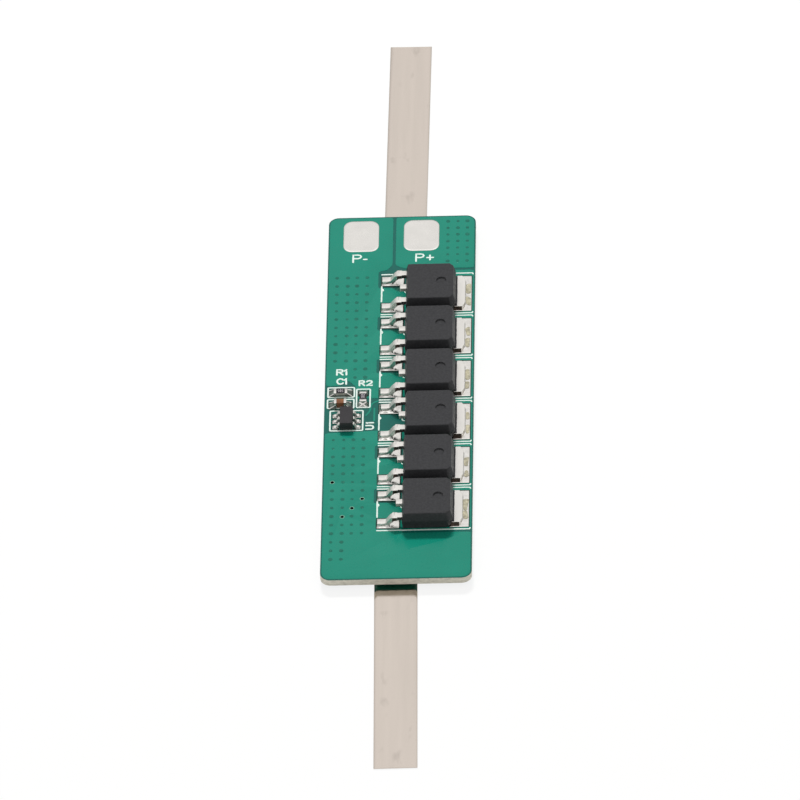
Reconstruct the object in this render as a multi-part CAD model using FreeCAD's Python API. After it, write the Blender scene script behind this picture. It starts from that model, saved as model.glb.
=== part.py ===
import FreeCAD, Part
import math
import os

# A protection board for one lithium cell, in millimetres, with its component side up.
# X runs across the board, Y along it towards the output pads, and Z up.
# The origin is under the middle of the whole object, on the undersides of the nickel strips.

V = FreeCAD.Vector

# Nickel strips, which are spot welded to the cell when the board is fitted
strip_width = 5.0
strip_thickness = 0.15
strip_overlap = 5.0
far_strip_reach = 31.8
near_strip_reach = 29.1
far_strip_offset = 0.32
near_strip_offset = -0.04
far_strip_turn = -0.5
near_strip_turn = 0.67

# Solder between a strip and the board: it spreads towards the board and stays off its edge
strip_solder_height = 0.5
strip_solder_margin = 0.3
strip_solder_spread = 0.4
strip_solder_setback = 1.6

# Circuit board, whose width and length follow from what stands on it
board_thickness = 0.85
board_corner_radius = 1.2
left_edge_clearance = 0.46
right_edge_clearance = 0.39
section_gap = 1.28
near_end_margin = 8.35
via_hole_diameter = 0.4
# Four vias are open: their places are from the board's near left corner
open_vias = [(1.15, 16.2), (4.68, 13.37), (3.51, 11.84), (2.4, 10.43)]

# Tinned output pads at the far end, negative on the left
output_pad_width = 4.25
output_pad_length = 5.4
output_pad_thickness = 0.06
output_pad_corner_radius = 1.1
output_pad_gap = 2.92
output_pad_end_margin = 0.65
output_pad_side_margin = 1.76
output_to_row_gap = 4.4

# Power transistors: a row of six surface packages with their leads to the left
transistor_count = 6
transistor_pitch = 7.3
# Each one floated a little while the solder was liquid, along X and along Y
float_drifts = [-0.03, -0.06, 0.02, 0.11, 0.0, -0.04]
float_shifts = [-0.20, -0.15, -0.22, -0.04, -0.17, -0.16]

# Their moulding, widest at the parting line and with the two corners beside the tab cut off
mould_length = 6.1
mould_width = 6.45
mould_height = 2.3
mould_parting_height = 1.2
mould_upper_draft = 14.0
mould_lower_draft = 8.0
mould_corner_cut = 0.6
dimple_diameter = 1.2
dimple_depth = 0.08
dimple_from_tab_side = 1.87

# Their gull-wing leads and the short middle lead, which is one piece with the drain tab
lead_width = 0.76
lead_thickness = 0.5
lead_pitch = 2.286
lead_inner_length = 0.9
lead_shoulder_reach = 1.04
lead_slope_run = 0.68
lead_foot_length = 1.13
lead_bend_radius = 0.25
stub_reach = 0.68
# The sheared remains of the bar that held the leads together widen each shoulder
sheared_bar_start = 0.5
sheared_bar_end = 1.1
sheared_bar_stub = 0.1
tab_width = 5.3
tab_thickness = 0.5
tab_reach = 0.9
tab_corner_cut_x = 0.35
tab_corner_cut_y = 0.75
slug_setback = 1.2
slug_link_run = 0.5

# Their solder: tinned lands on the board and a sloping fillet round each foot and the tab
solder_film = 0.06
drain_land_width = 6.2
drain_land_margin = 0.71
lead_land_width = 1.6
lead_land_margin = 0.14
lead_land_setback = 0.31
fillet_height = 0.3
fillet_reach = 0.2
tab_fillet_height = 0.12

# Protection chip, a small six-lead package with three leads on each side
chip_count_per_side = 3
chip_lead_pitch = 0.95
chip_length = 3.0
chip_width = 1.6
chip_height = 1.1
chip_standoff = 0.06
chip_parting_height = 0.6
chip_draft = 8.0
chip_offset = 0.77
chip_from_board_middle = -4.41
chip_lead_width = 0.4
chip_lead_thickness = 0.15
chip_lead_inner_length = 0.3
chip_shoulder_reach = 0.08
chip_slope_run = 0.3
chip_foot_length = 0.3
chip_bend_radius = 0.06
chip_land_width = 0.6
chip_land_margin = 0.18
chip_land_inset = 0.25
chip_fillet_height = 0.14
chip_fillet_reach = 0.08

# Two resistors and a capacitor, ceramic blocks with metal at both ends
block_length = 1.6
capacitor_length = 1.45
block_width = 0.8
resistor_height = 0.45
capacitor_height = 0.8
end_band = 0.3
end_plating = 0.03
overglaze_thickness = 0.03
small_film = 0.04
block_land_reach = 0.625
block_land_side = 0.2
block_land_inset = 0.25
block_fillet_height = 0.3
chip_to_capacitor_gap = 0.86
capacitor_to_resistor_gap = 1.24
resistor_column_gap = 0.62

# Heights
board_bottom = strip_thickness + strip_solder_height
board_top = board_bottom + board_thickness
seat = board_top + solder_film
small_seat = board_top + small_film

# Widths that make up the board, from left to right
block_land_span = block_length + 2 * block_land_reach
block_land_width = block_width + 2 * block_land_side
control_width = block_land_span + resistor_column_gap + block_land_width
lead_reach = lead_shoulder_reach + lead_slope_run + lead_foot_length
power_width = lead_land_margin + lead_reach + mould_length + tab_reach + drain_land_margin
board_width = left_edge_clearance + control_width + section_gap + power_width + right_edge_clearance
left_edge = -board_width / 2
right_edge = board_width / 2

# Lengths that make up the board, from the far end to the near end
row_length = (transistor_count - 1) * transistor_pitch + drain_land_width
output_length = output_pad_end_margin + output_pad_length + output_to_row_gap
board_length = output_length + row_length + near_end_margin
board_middle = (near_strip_reach - far_strip_reach) / 2
far_edge = board_middle + board_length / 2
near_edge = board_middle - board_length / 2
first_transistor = far_edge - output_length - drain_land_width / 2

# Places across the board
drain_land_end = right_edge - right_edge_clearance
tab_end = drain_land_end - drain_land_margin
mould_right = tab_end - tab_reach
mould_left = mould_right - mould_length
lead_tip = mould_left - lead_reach
block_x = left_edge + left_edge_clearance + block_land_span / 2
column_x = block_x + block_land_span / 2 + resistor_column_gap + block_land_width / 2
chip_x = block_x + chip_offset

# Places along the board
chip_y = board_middle + chip_from_board_middle
capacitor_y = chip_y + chip_length / 2 + chip_to_capacitor_gap + block_width / 2
resistor_y = capacitor_y + block_width + capacitor_to_resistor_gap
column_y = (capacitor_y + resistor_y) / 2


def save(name, *shapes):
    """Write one sub-part as a STEP file named after its node."""
    shape = shapes[0] if len(shapes) == 1 else Part.makeCompound(list(shapes))
    shape.exportStep("parts/" + name + ".step")


def block(x0, x1, y0, y1, z0, z1):
    """A rectangular block between two corners."""
    return Part.makeBox(x1 - x0, y1 - y0, z1 - z0, V(x0, y0, z0))


def outline(corners, z):
    """A closed flat outline through the corners."""
    points = [V(x, y, z) for x, y in corners]
    return Part.makePolygon(points + points[:1])


def rectangle(x0, x1, y0, y1, z):
    """A closed rectangular outline."""
    return outline([(x0, y0), (x1, y0), (x1, y1), (x0, y1)], z)


def tapered(lower, upper):
    """A solid with flat sides between two like outlines at different heights."""
    return Part.makeLoft([lower, upper], True, True)


def rounded_plate(x0, x1, y0, y1, z0, thickness, radius):
    """A plate with four rounded upright corners."""
    plate = block(x0, x1, y0, y1, z0, z0 + thickness)
    uprights = [edge for edge in plate.Edges if abs(edge.tangentAt(edge.FirstParameter).z) > 0.5]
    return plate.makeFillet(radius, uprights)


def bent_strip(route, thickness, bend_radius, width, middle):
    """A flat strip bent along a route of (x, z) points, with arcs at its bends, centred on y = middle."""
    points = [V(x, middle - width / 2, z) for x, z in route]
    runs = [(end - start).normalize() for start, end in zip(points, points[1:])]
    normals = [V(-run.z, 0, run.x) for run in runs]
    half = thickness / 2
    sides = {1: [], -1: []}
    for side, edges in sides.items():
        start = points[0] + normals[0] * half * side
        for i in range(1, len(points) - 1):
            turn = runs[i - 1].getAngle(runs[i])
            inner = 1 if normals[i - 1].dot(runs[i]) > 0 else -1
            trim = (bend_radius + half) * math.tan(turn / 2)
            radius = bend_radius if side == inner else bend_radius + thickness
            into = points[i] - runs[i - 1] * trim + normals[i - 1] * half * side
            out = points[i] + runs[i] * trim + normals[i] * half * side
            centre = into + normals[i - 1] * inner * radius
            towards_corner = ((into - centre) + (out - centre)).normalize()
            edges.append(Part.LineSegment(start, into).toShape())
            edges.append(Part.Arc(into, centre + towards_corner * radius, out).toShape())
            start = out
        edges.append(Part.LineSegment(start, points[-1] + normals[-1] * half * side).toShape())
    caps = []
    for point, normal in ((points[0], normals[0]), (points[-1], normals[-1])):
        caps.append(Part.LineSegment(point + normal * half, point - normal * half).toShape())
    profile = Part.Wire(Part.__sortEdges__(sides[1] + sides[-1] + caps))
    return Part.Face(profile).extrude(V(0, width, 0))


def circuit_board():
    """The laminate, with rounded corners and its open vias drilled through."""
    board = rounded_plate(left_edge, right_edge, near_edge, far_edge,
                          board_bottom, board_thickness, board_corner_radius)
    for from_left, from_near in open_vias:
        place = V(left_edge + from_left, near_edge + from_near, board_bottom)
        board = board.cut(Part.makeCylinder(via_hole_diameter / 2, board_thickness, place))
    return board


def output_pad(x0):
    """A tinned copper pad to which an output wire is soldered."""
    y1 = far_edge - output_pad_end_margin
    return rounded_plate(x0, x0 + output_pad_width, y1 - output_pad_length, y1,
                         board_top, output_pad_thickness, output_pad_corner_radius)


def nickel_strip(edge, outwards, reach, offset, turn):
    """A flat strip under one end of the board, turned a little about the place where it leaves it."""
    y0, y1 = sorted((edge - outwards * strip_overlap, edge + outwards * reach))
    strip = block(offset - strip_width / 2, offset + strip_width / 2, y0, y1, 0, strip_thickness)
    strip.rotate(V(offset, edge, 0), V(0, 0, 1), turn)
    return strip


def strip_solder(edge, outwards, offset, turn):
    """The solder joint between a strip and the board."""
    half = strip_width / 2 - strip_solder_margin
    y0, y1 = sorted((edge - outwards * strip_solder_setback,
                     edge - outwards * (strip_overlap - strip_solder_margin)))
    spread = strip_solder_spread
    lower = rectangle(offset - half, offset + half, y0, y1, strip_thickness)
    upper = rectangle(offset - half - spread, offset + half + spread,
                      y0 - spread, y1 + spread, board_bottom)
    joint = tapered(lower, upper)
    joint.rotate(V(offset, edge, 0), V(0, 0, 1), turn)
    return joint


def mould_outline(middle, inset, z):
    """The moulding's outline at one height: a rectangle without its two corners beside the tab."""
    x0 = mould_left + inset
    x1 = mould_right - inset
    half = mould_width / 2 - inset
    # A 45 degree corner cut gets shorter as its outline shrinks
    cut = mould_corner_cut - inset * (2 - math.sqrt(2))
    corners = [(x0, middle - half), (x1 - cut, middle - half), (x1, middle - half + cut),
               (x1, middle + half - cut), (x1 - cut, middle + half), (x0, middle + half)]
    return outline(corners, z)


def transistor_moulding(middle):
    """The closed moulding, drafted both ways from its parting line, with an ejector dimple on top."""
    top = seat + mould_height
    parting = seat + mould_parting_height
    lower_inset = mould_parting_height * math.tan(math.radians(mould_lower_draft))
    upper_inset = (mould_height - mould_parting_height) * math.tan(math.radians(mould_upper_draft))
    widest = mould_outline(middle, 0, parting)
    lower = tapered(mould_outline(middle, lower_inset, seat), widest)
    upper = tapered(widest, mould_outline(middle, upper_inset, top))
    place = V(mould_right - dimple_from_tab_side, middle, top - dimple_depth)
    dimple = Part.makeCylinder(dimple_diameter / 2, dimple_depth, place)
    return lower.fuse(upper).removeSplitter().cut(dimple)


def transistor_lead(middle):
    """A gull-wing lead: out of the moulding, down its slope and along its foot."""
    high = seat + mould_parting_height
    low = seat + lead_thickness / 2
    shoulder = mould_left - lead_shoulder_reach
    heel = shoulder - lead_slope_run
    route = [(mould_left + lead_inner_length, high), (shoulder, high), (heel, low), (lead_tip, low)]
    lead = bent_strip(route, lead_thickness, lead_bend_radius, lead_width, middle)
    # The sheared bar follows the same bend, and is cut from a wider strip
    wide = lead_width + 2 * sheared_bar_stub
    reach = block(mould_left - sheared_bar_end, mould_left - sheared_bar_start,
                  middle - wide, middle + wide, board_top, seat + mould_height)
    bar = bent_strip(route, lead_thickness, lead_bend_radius, wide, middle).common(reach)
    return lead.fuse(bar).removeSplitter()


def drain_tab(middle):
    """The heat slug with its tab, and the cut middle lead that is bent up from it."""
    slug_left = mould_left + slug_setback
    half = tab_width / 2
    cut_x = tab_corner_cut_x
    cut_y = tab_corner_cut_y
    corners = [(slug_left, middle - half), (tab_end - cut_x, middle - half),
               (tab_end, middle - half + cut_y), (tab_end, middle + half - cut_y),
               (tab_end - cut_x, middle + half), (slug_left, middle + half)]
    slug = Part.Face(outline(corners, seat)).extrude(V(0, 0, tab_thickness))
    low = seat + lead_thickness / 2
    high = seat + mould_parting_height
    bend = slug_left - lead_bend_radius
    route = [(slug_left + lead_thickness, low), (bend, low),
             (bend - slug_link_run, high), (mould_left - stub_reach, high)]
    link = bent_strip(route, lead_thickness, lead_bend_radius, lead_width, middle)
    return slug.fuse(link).removeSplitter()


def drain_solder(land_middle, middle, drift, tab):
    """The tinned drain land, with solder sloping up to the tab's free edges."""
    half = drain_land_width / 2
    land = block(mould_left + slug_setback, drain_land_end,
                 land_middle - half, land_middle + half, board_top, seat)
    tab_half = tab_width / 2
    wide = tab_half + fillet_reach
    start = mould_right + drift
    end = tab_end + drift
    lower = rectangle(start, end + fillet_reach, middle - wide, middle + wide, seat)
    upper = rectangle(start, end, middle - tab_half, middle + tab_half, seat + tab_fillet_height)
    return land.fuse(tapered(lower, upper).cut(tab)).removeSplitter()


def lead_solder(land_middle, middle, drift, lead):
    """The tinned lead land, with solder sloping up to the foot."""
    half = lead_land_width / 2
    land = block(lead_tip - lead_land_margin, mould_left - lead_land_setback,
                 land_middle - half, land_middle + half, board_top, seat)
    foot_half = lead_width / 2
    wide = foot_half + fillet_reach
    tip = lead_tip + drift
    heel = tip + lead_foot_length
    lower = rectangle(lead_tip - lead_land_margin, heel, middle - wide, middle + wide, seat)
    upper = rectangle(tip, heel, middle - foot_half, middle + foot_half, seat + fillet_height)
    return land.fuse(tapered(lower, upper).cut(lead)).removeSplitter()


def transistor(number, land_middle, drift, shift):
    """One power transistor with its metal and its solder."""
    middle = land_middle + shift
    tab = drain_tab(middle)
    gate = transistor_lead(middle + lead_pitch)
    source = transistor_lead(middle - lead_pitch)
    moulding = transistor_moulding(middle).cut(Part.makeCompound([tab, gate, source]))
    for piece in (tab, gate, source, moulding):
        piece.translate(V(drift, 0, 0))
    name = "transistor_" + str(number)
    save(name + "_body", moulding.Solids[0])
    save(name + "_drain_tab", tab)
    save(name + "_gate_lead", gate)
    save(name + "_source_lead", source)
    save(name + "_solder",
         drain_solder(land_middle, middle, drift, tab),
         lead_solder(land_middle + lead_pitch, middle + lead_pitch, drift, gate),
         lead_solder(land_middle - lead_pitch, middle - lead_pitch, drift, source))


def chip_lead(side, middle):
    """A thin gull-wing lead of the protection chip, on the left (-1) or the right (1)."""
    high = small_seat + chip_parting_height
    low = small_seat + chip_lead_thickness / 2
    face = chip_width / 2
    shoulder = face + chip_shoulder_reach
    heel = shoulder + chip_slope_run
    tip = heel + chip_foot_length
    route = [(chip_x + side * (face - chip_lead_inner_length), high), (chip_x + side * shoulder, high),
             (chip_x + side * heel, low), (chip_x + side * tip, low)]
    return bent_strip(route, chip_lead_thickness, chip_bend_radius, chip_lead_width, middle)


def chip_solder(side, middle, lead):
    """The tinned land and fillet under one foot of the protection chip."""
    heel = chip_width / 2 + chip_shoulder_reach + chip_slope_run
    tip = heel + chip_foot_length
    land_half = chip_land_width / 2
    foot_half = chip_lead_width / 2
    wide = foot_half + chip_fillet_reach
    land_x = sorted((chip_x + side * (heel - chip_land_inset), chip_x + side * (tip + chip_land_margin)))
    lower_x = sorted((chip_x + side * heel, chip_x + side * (tip + chip_fillet_reach)))
    upper_x = sorted((chip_x + side * heel, chip_x + side * tip))
    land = block(*land_x, middle - land_half, middle + land_half, board_top, small_seat)
    lower = rectangle(*lower_x, middle - wide, middle + wide, small_seat)
    upper = rectangle(*upper_x, middle - foot_half, middle + foot_half, small_seat + chip_fillet_height)
    return land.fuse(tapered(lower, upper).cut(lead)).removeSplitter()


def chip_moulding():
    """The protection chip's moulding, drafted both ways from its parting line."""
    def level(inset, z):
        half_x = chip_width / 2 - inset
        half_y = chip_length / 2 - inset
        return rectangle(chip_x - half_x, chip_x + half_x, chip_y - half_y, chip_y + half_y, z)
    draft = math.tan(math.radians(chip_draft))
    bottom = small_seat + chip_standoff
    parting = small_seat + chip_parting_height
    top = bottom + chip_height
    lower = tapered(level((parting - bottom) * draft, bottom), level(0, parting))
    upper = tapered(level(0, parting), level((top - parting) * draft, top))
    return lower.fuse(upper).removeSplitter()


def protection_chip():
    """The protection chip: its moulding, six leads and their solder."""
    leads = []
    solder = []
    for side in (-1, 1):
        for i in range(chip_count_per_side):
            middle = chip_y + (i - (chip_count_per_side - 1) / 2) * chip_lead_pitch
            lead = chip_lead(side, middle)
            leads.append(lead)
            solder.append(chip_solder(side, middle, lead))
    save("protection_chip_body", chip_moulding().cut(Part.makeCompound(leads)).Solids[0])
    for number, lead in enumerate(leads, 1):
        save("protection_chip_lead_" + str(number), lead)
    save("protection_chip_solder", *solder)


def block_part(name, x, y, length, height, wraps_sides, glazed, upright):
    """A resistor or capacitor, made along X and turned along Y where it stands upright on the board."""
    bottom = small_seat
    top = bottom + height
    half = length / 2
    side = block_width / 2
    core_side = side - end_plating if wraps_sides else side
    core = block(-half + end_plating, half - end_plating, -core_side, core_side,
                 bottom + end_plating, top - end_plating)
    ends = []
    solder = []
    for way in (-1, 1):
        band_x = sorted((way * half, way * (half - end_band)))
        end = block(*band_x, -side, side, bottom, top).cut(core)
        ends.append(end)
        land_half = block_land_width / 2
        land_x = sorted((way * (half - block_land_inset), way * (half + block_land_reach)))
        slope_x = sorted((way * (half - block_land_inset), way * half))
        land = block(*land_x, -land_half, land_half, board_top, small_seat)
        fillet = tapered(rectangle(*land_x, -land_half, land_half, small_seat),
                         rectangle(*slope_x, -side, side, small_seat + block_fillet_height))
        outer = block(-half, half, -side, side, bottom, top)
        solder.append(land.fuse(fillet.cut(outer)).removeSplitter())
    pieces = {"_body": [core], "_end_caps": ends, "_solder": solder}
    if glazed:
        glaze_end = half - end_band
        glaze = block(-glaze_end, glaze_end, -side, side, top - end_plating,
                      top - end_plating + overglaze_thickness)
        pieces["_overglaze"] = [glaze]
    for suffix, shapes in pieces.items():
        for shape in shapes:
            if upright:
                shape.rotate(V(0, 0, 0), V(0, 0, 1), 90)
            shape.translate(V(x, y, 0))
        save(name + suffix, *shapes)


def main():
    """Write every sub-part."""
    os.makedirs("parts", exist_ok=True)
    save("circuit_board", circuit_board())
    negative_x = left_edge + output_pad_side_margin
    save("output_pad_negative", output_pad(negative_x))
    save("output_pad_positive", output_pad(negative_x + output_pad_width + output_pad_gap))
    save("nickel_strip_far", nickel_strip(far_edge, 1, far_strip_reach, far_strip_offset, far_strip_turn))
    save("strip_solder_far", strip_solder(far_edge, 1, far_strip_offset, far_strip_turn))
    save("nickel_strip_near",
         nickel_strip(near_edge, -1, near_strip_reach, near_strip_offset, near_strip_turn))
    save("strip_solder_near", strip_solder(near_edge, -1, near_strip_offset, near_strip_turn))
    for i in range(transistor_count):
        drift = float_drifts[i % len(float_drifts)]
        shift = float_shifts[i % len(float_shifts)]
        transistor(i + 1, first_transistor - i * transistor_pitch, drift, shift)
    protection_chip()
    block_part("resistor_1", block_x, resistor_y, block_length, resistor_height, False, True, False)
    block_part("resistor_2", column_x, column_y, block_length, resistor_height, False, True, True)
    block_part("capacitor_1", block_x, capacitor_y, capacitor_length, capacitor_height, True, False, False)


main()
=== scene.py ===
import math

import bmesh
import bpy
from mathutils import Matrix, Vector, noise


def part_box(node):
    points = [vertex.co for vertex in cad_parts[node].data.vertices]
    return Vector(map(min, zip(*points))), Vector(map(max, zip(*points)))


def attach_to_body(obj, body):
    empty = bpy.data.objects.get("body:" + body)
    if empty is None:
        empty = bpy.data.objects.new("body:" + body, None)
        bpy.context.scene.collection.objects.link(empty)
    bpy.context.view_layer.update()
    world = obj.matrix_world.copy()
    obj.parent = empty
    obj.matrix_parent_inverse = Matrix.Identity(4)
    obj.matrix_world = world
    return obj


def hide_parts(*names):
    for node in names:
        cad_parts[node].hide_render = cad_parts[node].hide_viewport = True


# A one-cell protection board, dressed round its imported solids. Scene units are metres.
bl_info = {
    "name": "Battery management board",
    "version": (1, 0, 0),
    "blender": (4, 5, 0),
    "location": "3D View > Sidebar > Board",
    "description": "Copper, print, solder, packages and strips of a one-cell protection board",
    "category": "Object",
}

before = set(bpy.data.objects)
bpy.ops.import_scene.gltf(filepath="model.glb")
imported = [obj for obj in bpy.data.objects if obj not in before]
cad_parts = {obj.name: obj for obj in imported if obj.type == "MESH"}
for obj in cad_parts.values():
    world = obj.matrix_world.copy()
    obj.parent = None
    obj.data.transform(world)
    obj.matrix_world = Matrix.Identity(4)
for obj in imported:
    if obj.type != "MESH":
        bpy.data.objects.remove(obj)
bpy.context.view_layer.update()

# Without a seed, the noise that makes outlines stray would differ from run to run
noise.seed_set(5)

MM = 0.001
TRANSISTORS = range(1, 7)
CHIP_LEADS = range(1, 7)
BOARD_LOW, BOARD_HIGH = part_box("circuit_board")
BOARD_MIDDLE = (BOARD_LOW.y + BOARD_HIGH.y) / 2
BOARD_BOTTOM = BOARD_LOW.z
BOARD_TOP = BOARD_HIGH.z

# Places on the board are given in millimetres from its middle, as a board designer gives them.
PRINT_LEFT = -2.3
PRINT_RIGHT = 8.5
# Measured from a transistor's middle: its two printed lines, the line between them, its marks
PRINT_HALF = 3.45
PRINT_SIDE = (1.37, -1.22)
HALF_ROUND = [(0, 0.48), (0.2, 0.6), (0.27, 0.78), (0.2, 0.96), (0, 1.08)]
FIRST_LEAD_RING = (0.66, 0.5)
POUR_CORNER = 0.3
VIA_CLEARANCE = 0.3
VIA_HOLE = 0.2
VIA_BARREL = 0.185
PAD_CORNER = 1.1
VIA_GRIDS = [
    ([5.45, 6.63, 7.76], 29.75, 1.157, 7),
    ([-7.61, -6.33, -5.23, -4.04], 20.23, 1.429, 11),
    ([-5.23, -4.04], 4.51, 1.429, 2),
    ([-7.60, -6.36, -5.25, -4.06], -7.46, 1.42, 12),
    ([-7.60, -6.36], -24.5, 1.42, 3),
]
OPEN_VIAS = [(-7.6, -14.55), (-4.07, -17.38), (-5.24, -18.91), (-6.35, -20.32)]
TRACES = [
    [(-2.41, -0.98), (-2.93, -1.21), (-3.28, -1.63), (-3.35, -2.64), (-3.84, -3.39)],
    [(-2.87, -2.23), (-2.87, -4.35)],
]
BOXES = [
    (-8.35, -5.26, -0.24, 1.38),
    (-8.38, -5.29, -2.10, -0.62),
    (-4.98, -3.40, -2.05, 1.05),
    (-8.03, -4.20, -5.91, -2.56),
]

# Sizes of the packages and their lands, in millimetres
LEAD_PITCH = 2.286
LEAD_FOOT = 1.13
LEAD_WIDTH = 0.76
LEAD_LAND_HALF = 0.8
LEAD_LAND_END = 0.34
LEAD_HEEL = 0.55
TAB_CUT = (0.35, 0.75)
TAB_FOOT = 1.6
DRAIN_LAND = 1.5
DRAIN_LAND_LESS = 0.17
DIMPLE_INSET = 1.87
DIMPLE_RADIUS = 0.6
DIMPLE_DEPTH = 0.08
CHIP_FOOT = 0.3
CHIP_LAND_INSET = 0.25
CHIP_LAND_HALF = 0.3
BLOCK_LAND_INSET = 0.25

# The camera: degrees up, turned and rolled, millimetres right and up of the board's middle, and metres away
CAMERA_TURNS = (43.551, 3.072, -3.374)
CAMERA_AIM = (0.097, -0.610)
CAMERA_DISTANCE = 1.3
PIXELS_PER_MM = 8.5383
IMAGE_WIDTH = 800

# The key lamp, in metres
KEY_SIZE = (0.4, 0.18)
KEY_DIRECTION = (-0.06, 0.63, 0.777)
KEY_DISTANCE = 2.0

# Each block with its ceramic's finish, its slot, its printed value and whether it stands along the board
BLOCKS = [
    ("resistor_1", "resistor_alumina", "resistor_ceramic", "101", False),
    ("resistor_2", "resistor_alumina", "resistor_ceramic", "102", True),
    ("capacitor_1", "fired_dielectric", "capacitor_ceramic", None, False),
]

# Strokes of the printed signs, in a box one unit wide and one unit high
SIGNS = {
    "P": [[(0, 0), (0, 1), (0.6, 1), (0.9, 0.93), (1, 0.76), (0.9, 0.58), (0.6, 0.5), (0.14, 0.5)]],
    "R": [[(0, 0), (0, 1), (0.6, 1), (0.9, 0.93), (1, 0.76), (0.9, 0.58), (0.6, 0.5), (0.16, 0.5)],
          [(0.58, 0.36), (1, 0)]],
    "C": [[(1, 0.78), (0.84, 0.94), (0.5, 1), (0.17, 0.9), (0, 0.65), (0, 0.35), (0.17, 0.1), (0.5, 0),
           (0.84, 0.06), (1, 0.22)]],
    "U": [[(0, 1), (0, 0.3), (0.15, 0.08), (0.5, 0), (0.85, 0.08), (1, 0.3), (1, 1)]],
    "0": [[(0.5, 0), (0.12, 0.15), (0, 0.5), (0.12, 0.85), (0.5, 1), (0.88, 0.85), (1, 0.5),
           (0.88, 0.15), (0.5, 0)]],
    "1": [[(0.1, 0.76), (0.6, 1), (0.6, 0)]],
    "bar": [[(0.2, 0.88), (0.5, 1), (0.5, 0)]],
    "2": [[(0, 0.78), (0.16, 0.94), (0.5, 1), (0.84, 0.93), (1, 0.74), (0.9, 0.52), (0, 0), (1, 0)]],
    "-": [[(0, 0.5), (1, 0.5)]],
    "+": [[(0, 0.5), (1, 0.5)], [(0.5, 0), (0.5, 0.36)], [(0.5, 0.64), (0.5, 1)]],
}

# Each sign with its low corner, its size and the quarter turns it is printed with
LABELS = [
    ("P", -5.77, 22.93, 0.94, 1.25, 0), ("-", -4.51, 23.08, 0.36, 0.64, 0),
    ("P", 1.70, 22.88, 0.91, 1.25, 0), ("+", 3.00, 23.09, 0.72, 0.78, 0),
    ("R", -7.36, 3.57, 0.69, 0.87, 0), ("1", -6.50, 3.57, 0.42, 0.87, 0),
    ("C", -7.29, 1.99, 0.66, 0.91, 0), ("1", -6.50, 1.99, 0.42, 0.91, 0),
    ("R", -4.69, 1.68, 0.58, 0.80, 0), ("2", -3.81, 1.68, 0.60, 0.80, 0),
    ("U", -3.80, -5.73, 0.84, 0.60, 1), ("bar", -3.76, -4.80, 0.80, 0.28, 1),
]


# Finishes


def linear(colour):
    """The linear colour of an sRGB hex value."""
    parts = [int(colour[i:i + 2], 16) / 255 for i in (0, 2, 4)]
    return [c / 12.92 if c <= 0.04045 else ((c + 0.055) / 1.055) ** 2.4 for c in parts] + [1.0]


def add(tree, kind, values=None, links=None, **settings):
    """Add one node with its settings, its input values and its input links.

    A link comes from a socket, or from the first output of a node.
    """
    made = tree.nodes.new(kind)
    for name, value in settings.items():
        setattr(made, name, value)
    for name, value in (values or {}).items():
        made.inputs[name].default_value = value
    for name, source in (links or {}).items():
        if isinstance(source, bpy.types.Node):
            source = source.outputs[0]
        tree.links.new(source, made.inputs[name])
    return made


def wander(tree, across, low, high, stretch=(1, 1, 1), detail=3.0):
    """A value that wanders between two limits over a real distance in millimetres."""
    place = add(tree, "ShaderNodeTexCoord")
    turned = add(tree, "ShaderNodeMapping", {"Scale": stretch}, {"Vector": place.outputs["Object"]})
    field = add(tree, "ShaderNodeTexNoise", {"Scale": 1 / (across * MM), "Detail": detail},
                {"Vector": turned})
    return add(tree, "ShaderNodeMapRange",
               {"From Min": 0.3, "From Max": 0.7, "To Min": low, "To Max": high}, {"Value": field})


def finish(name, colour, shade, patch, rough, grain, depth, stretch=(1, 1, 1), **sockets):
    """A material whose colour wanders over patches, and whose gloss and relief follow a finer grain.

    Patch and grain are sizes in millimetres, and depth is the height of the relief in millimetres.
    """
    made = bpy.data.materials.new(name)
    if made.name != name:
        raise ValueError("another material is already named " + name)
    made.use_nodes = True
    tree = made.node_tree
    tree.nodes.clear()
    patches = wander(tree, patch, 0, 1, stretch)
    colours = add(tree, "ShaderNodeMix", {6: colour, 7: shade}, {0: patches}, data_type="RGBA")
    gloss = wander(tree, grain * 3, *rough, stretch)
    height = wander(tree, grain, 0, 1, stretch)
    relief = add(tree, "ShaderNodeBump", {"Strength": 1.0, "Distance": depth * MM}, {"Height": height})
    shader = add(tree, "ShaderNodeBsdfPrincipled",
                 {key.replace("_", " "): value for key, value in sockets.items()},
                 {"Base Color": colours.outputs[2], "Roughness": gloss, "Normal": relief})
    add(tree, "ShaderNodeOutputMaterial", links={"Surface": shader})
    return made


def shaded(colour, factor):
    """The same colour, darker or lighter."""
    return [channel * factor for channel in colour[:3]] + [1.0]


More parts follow.
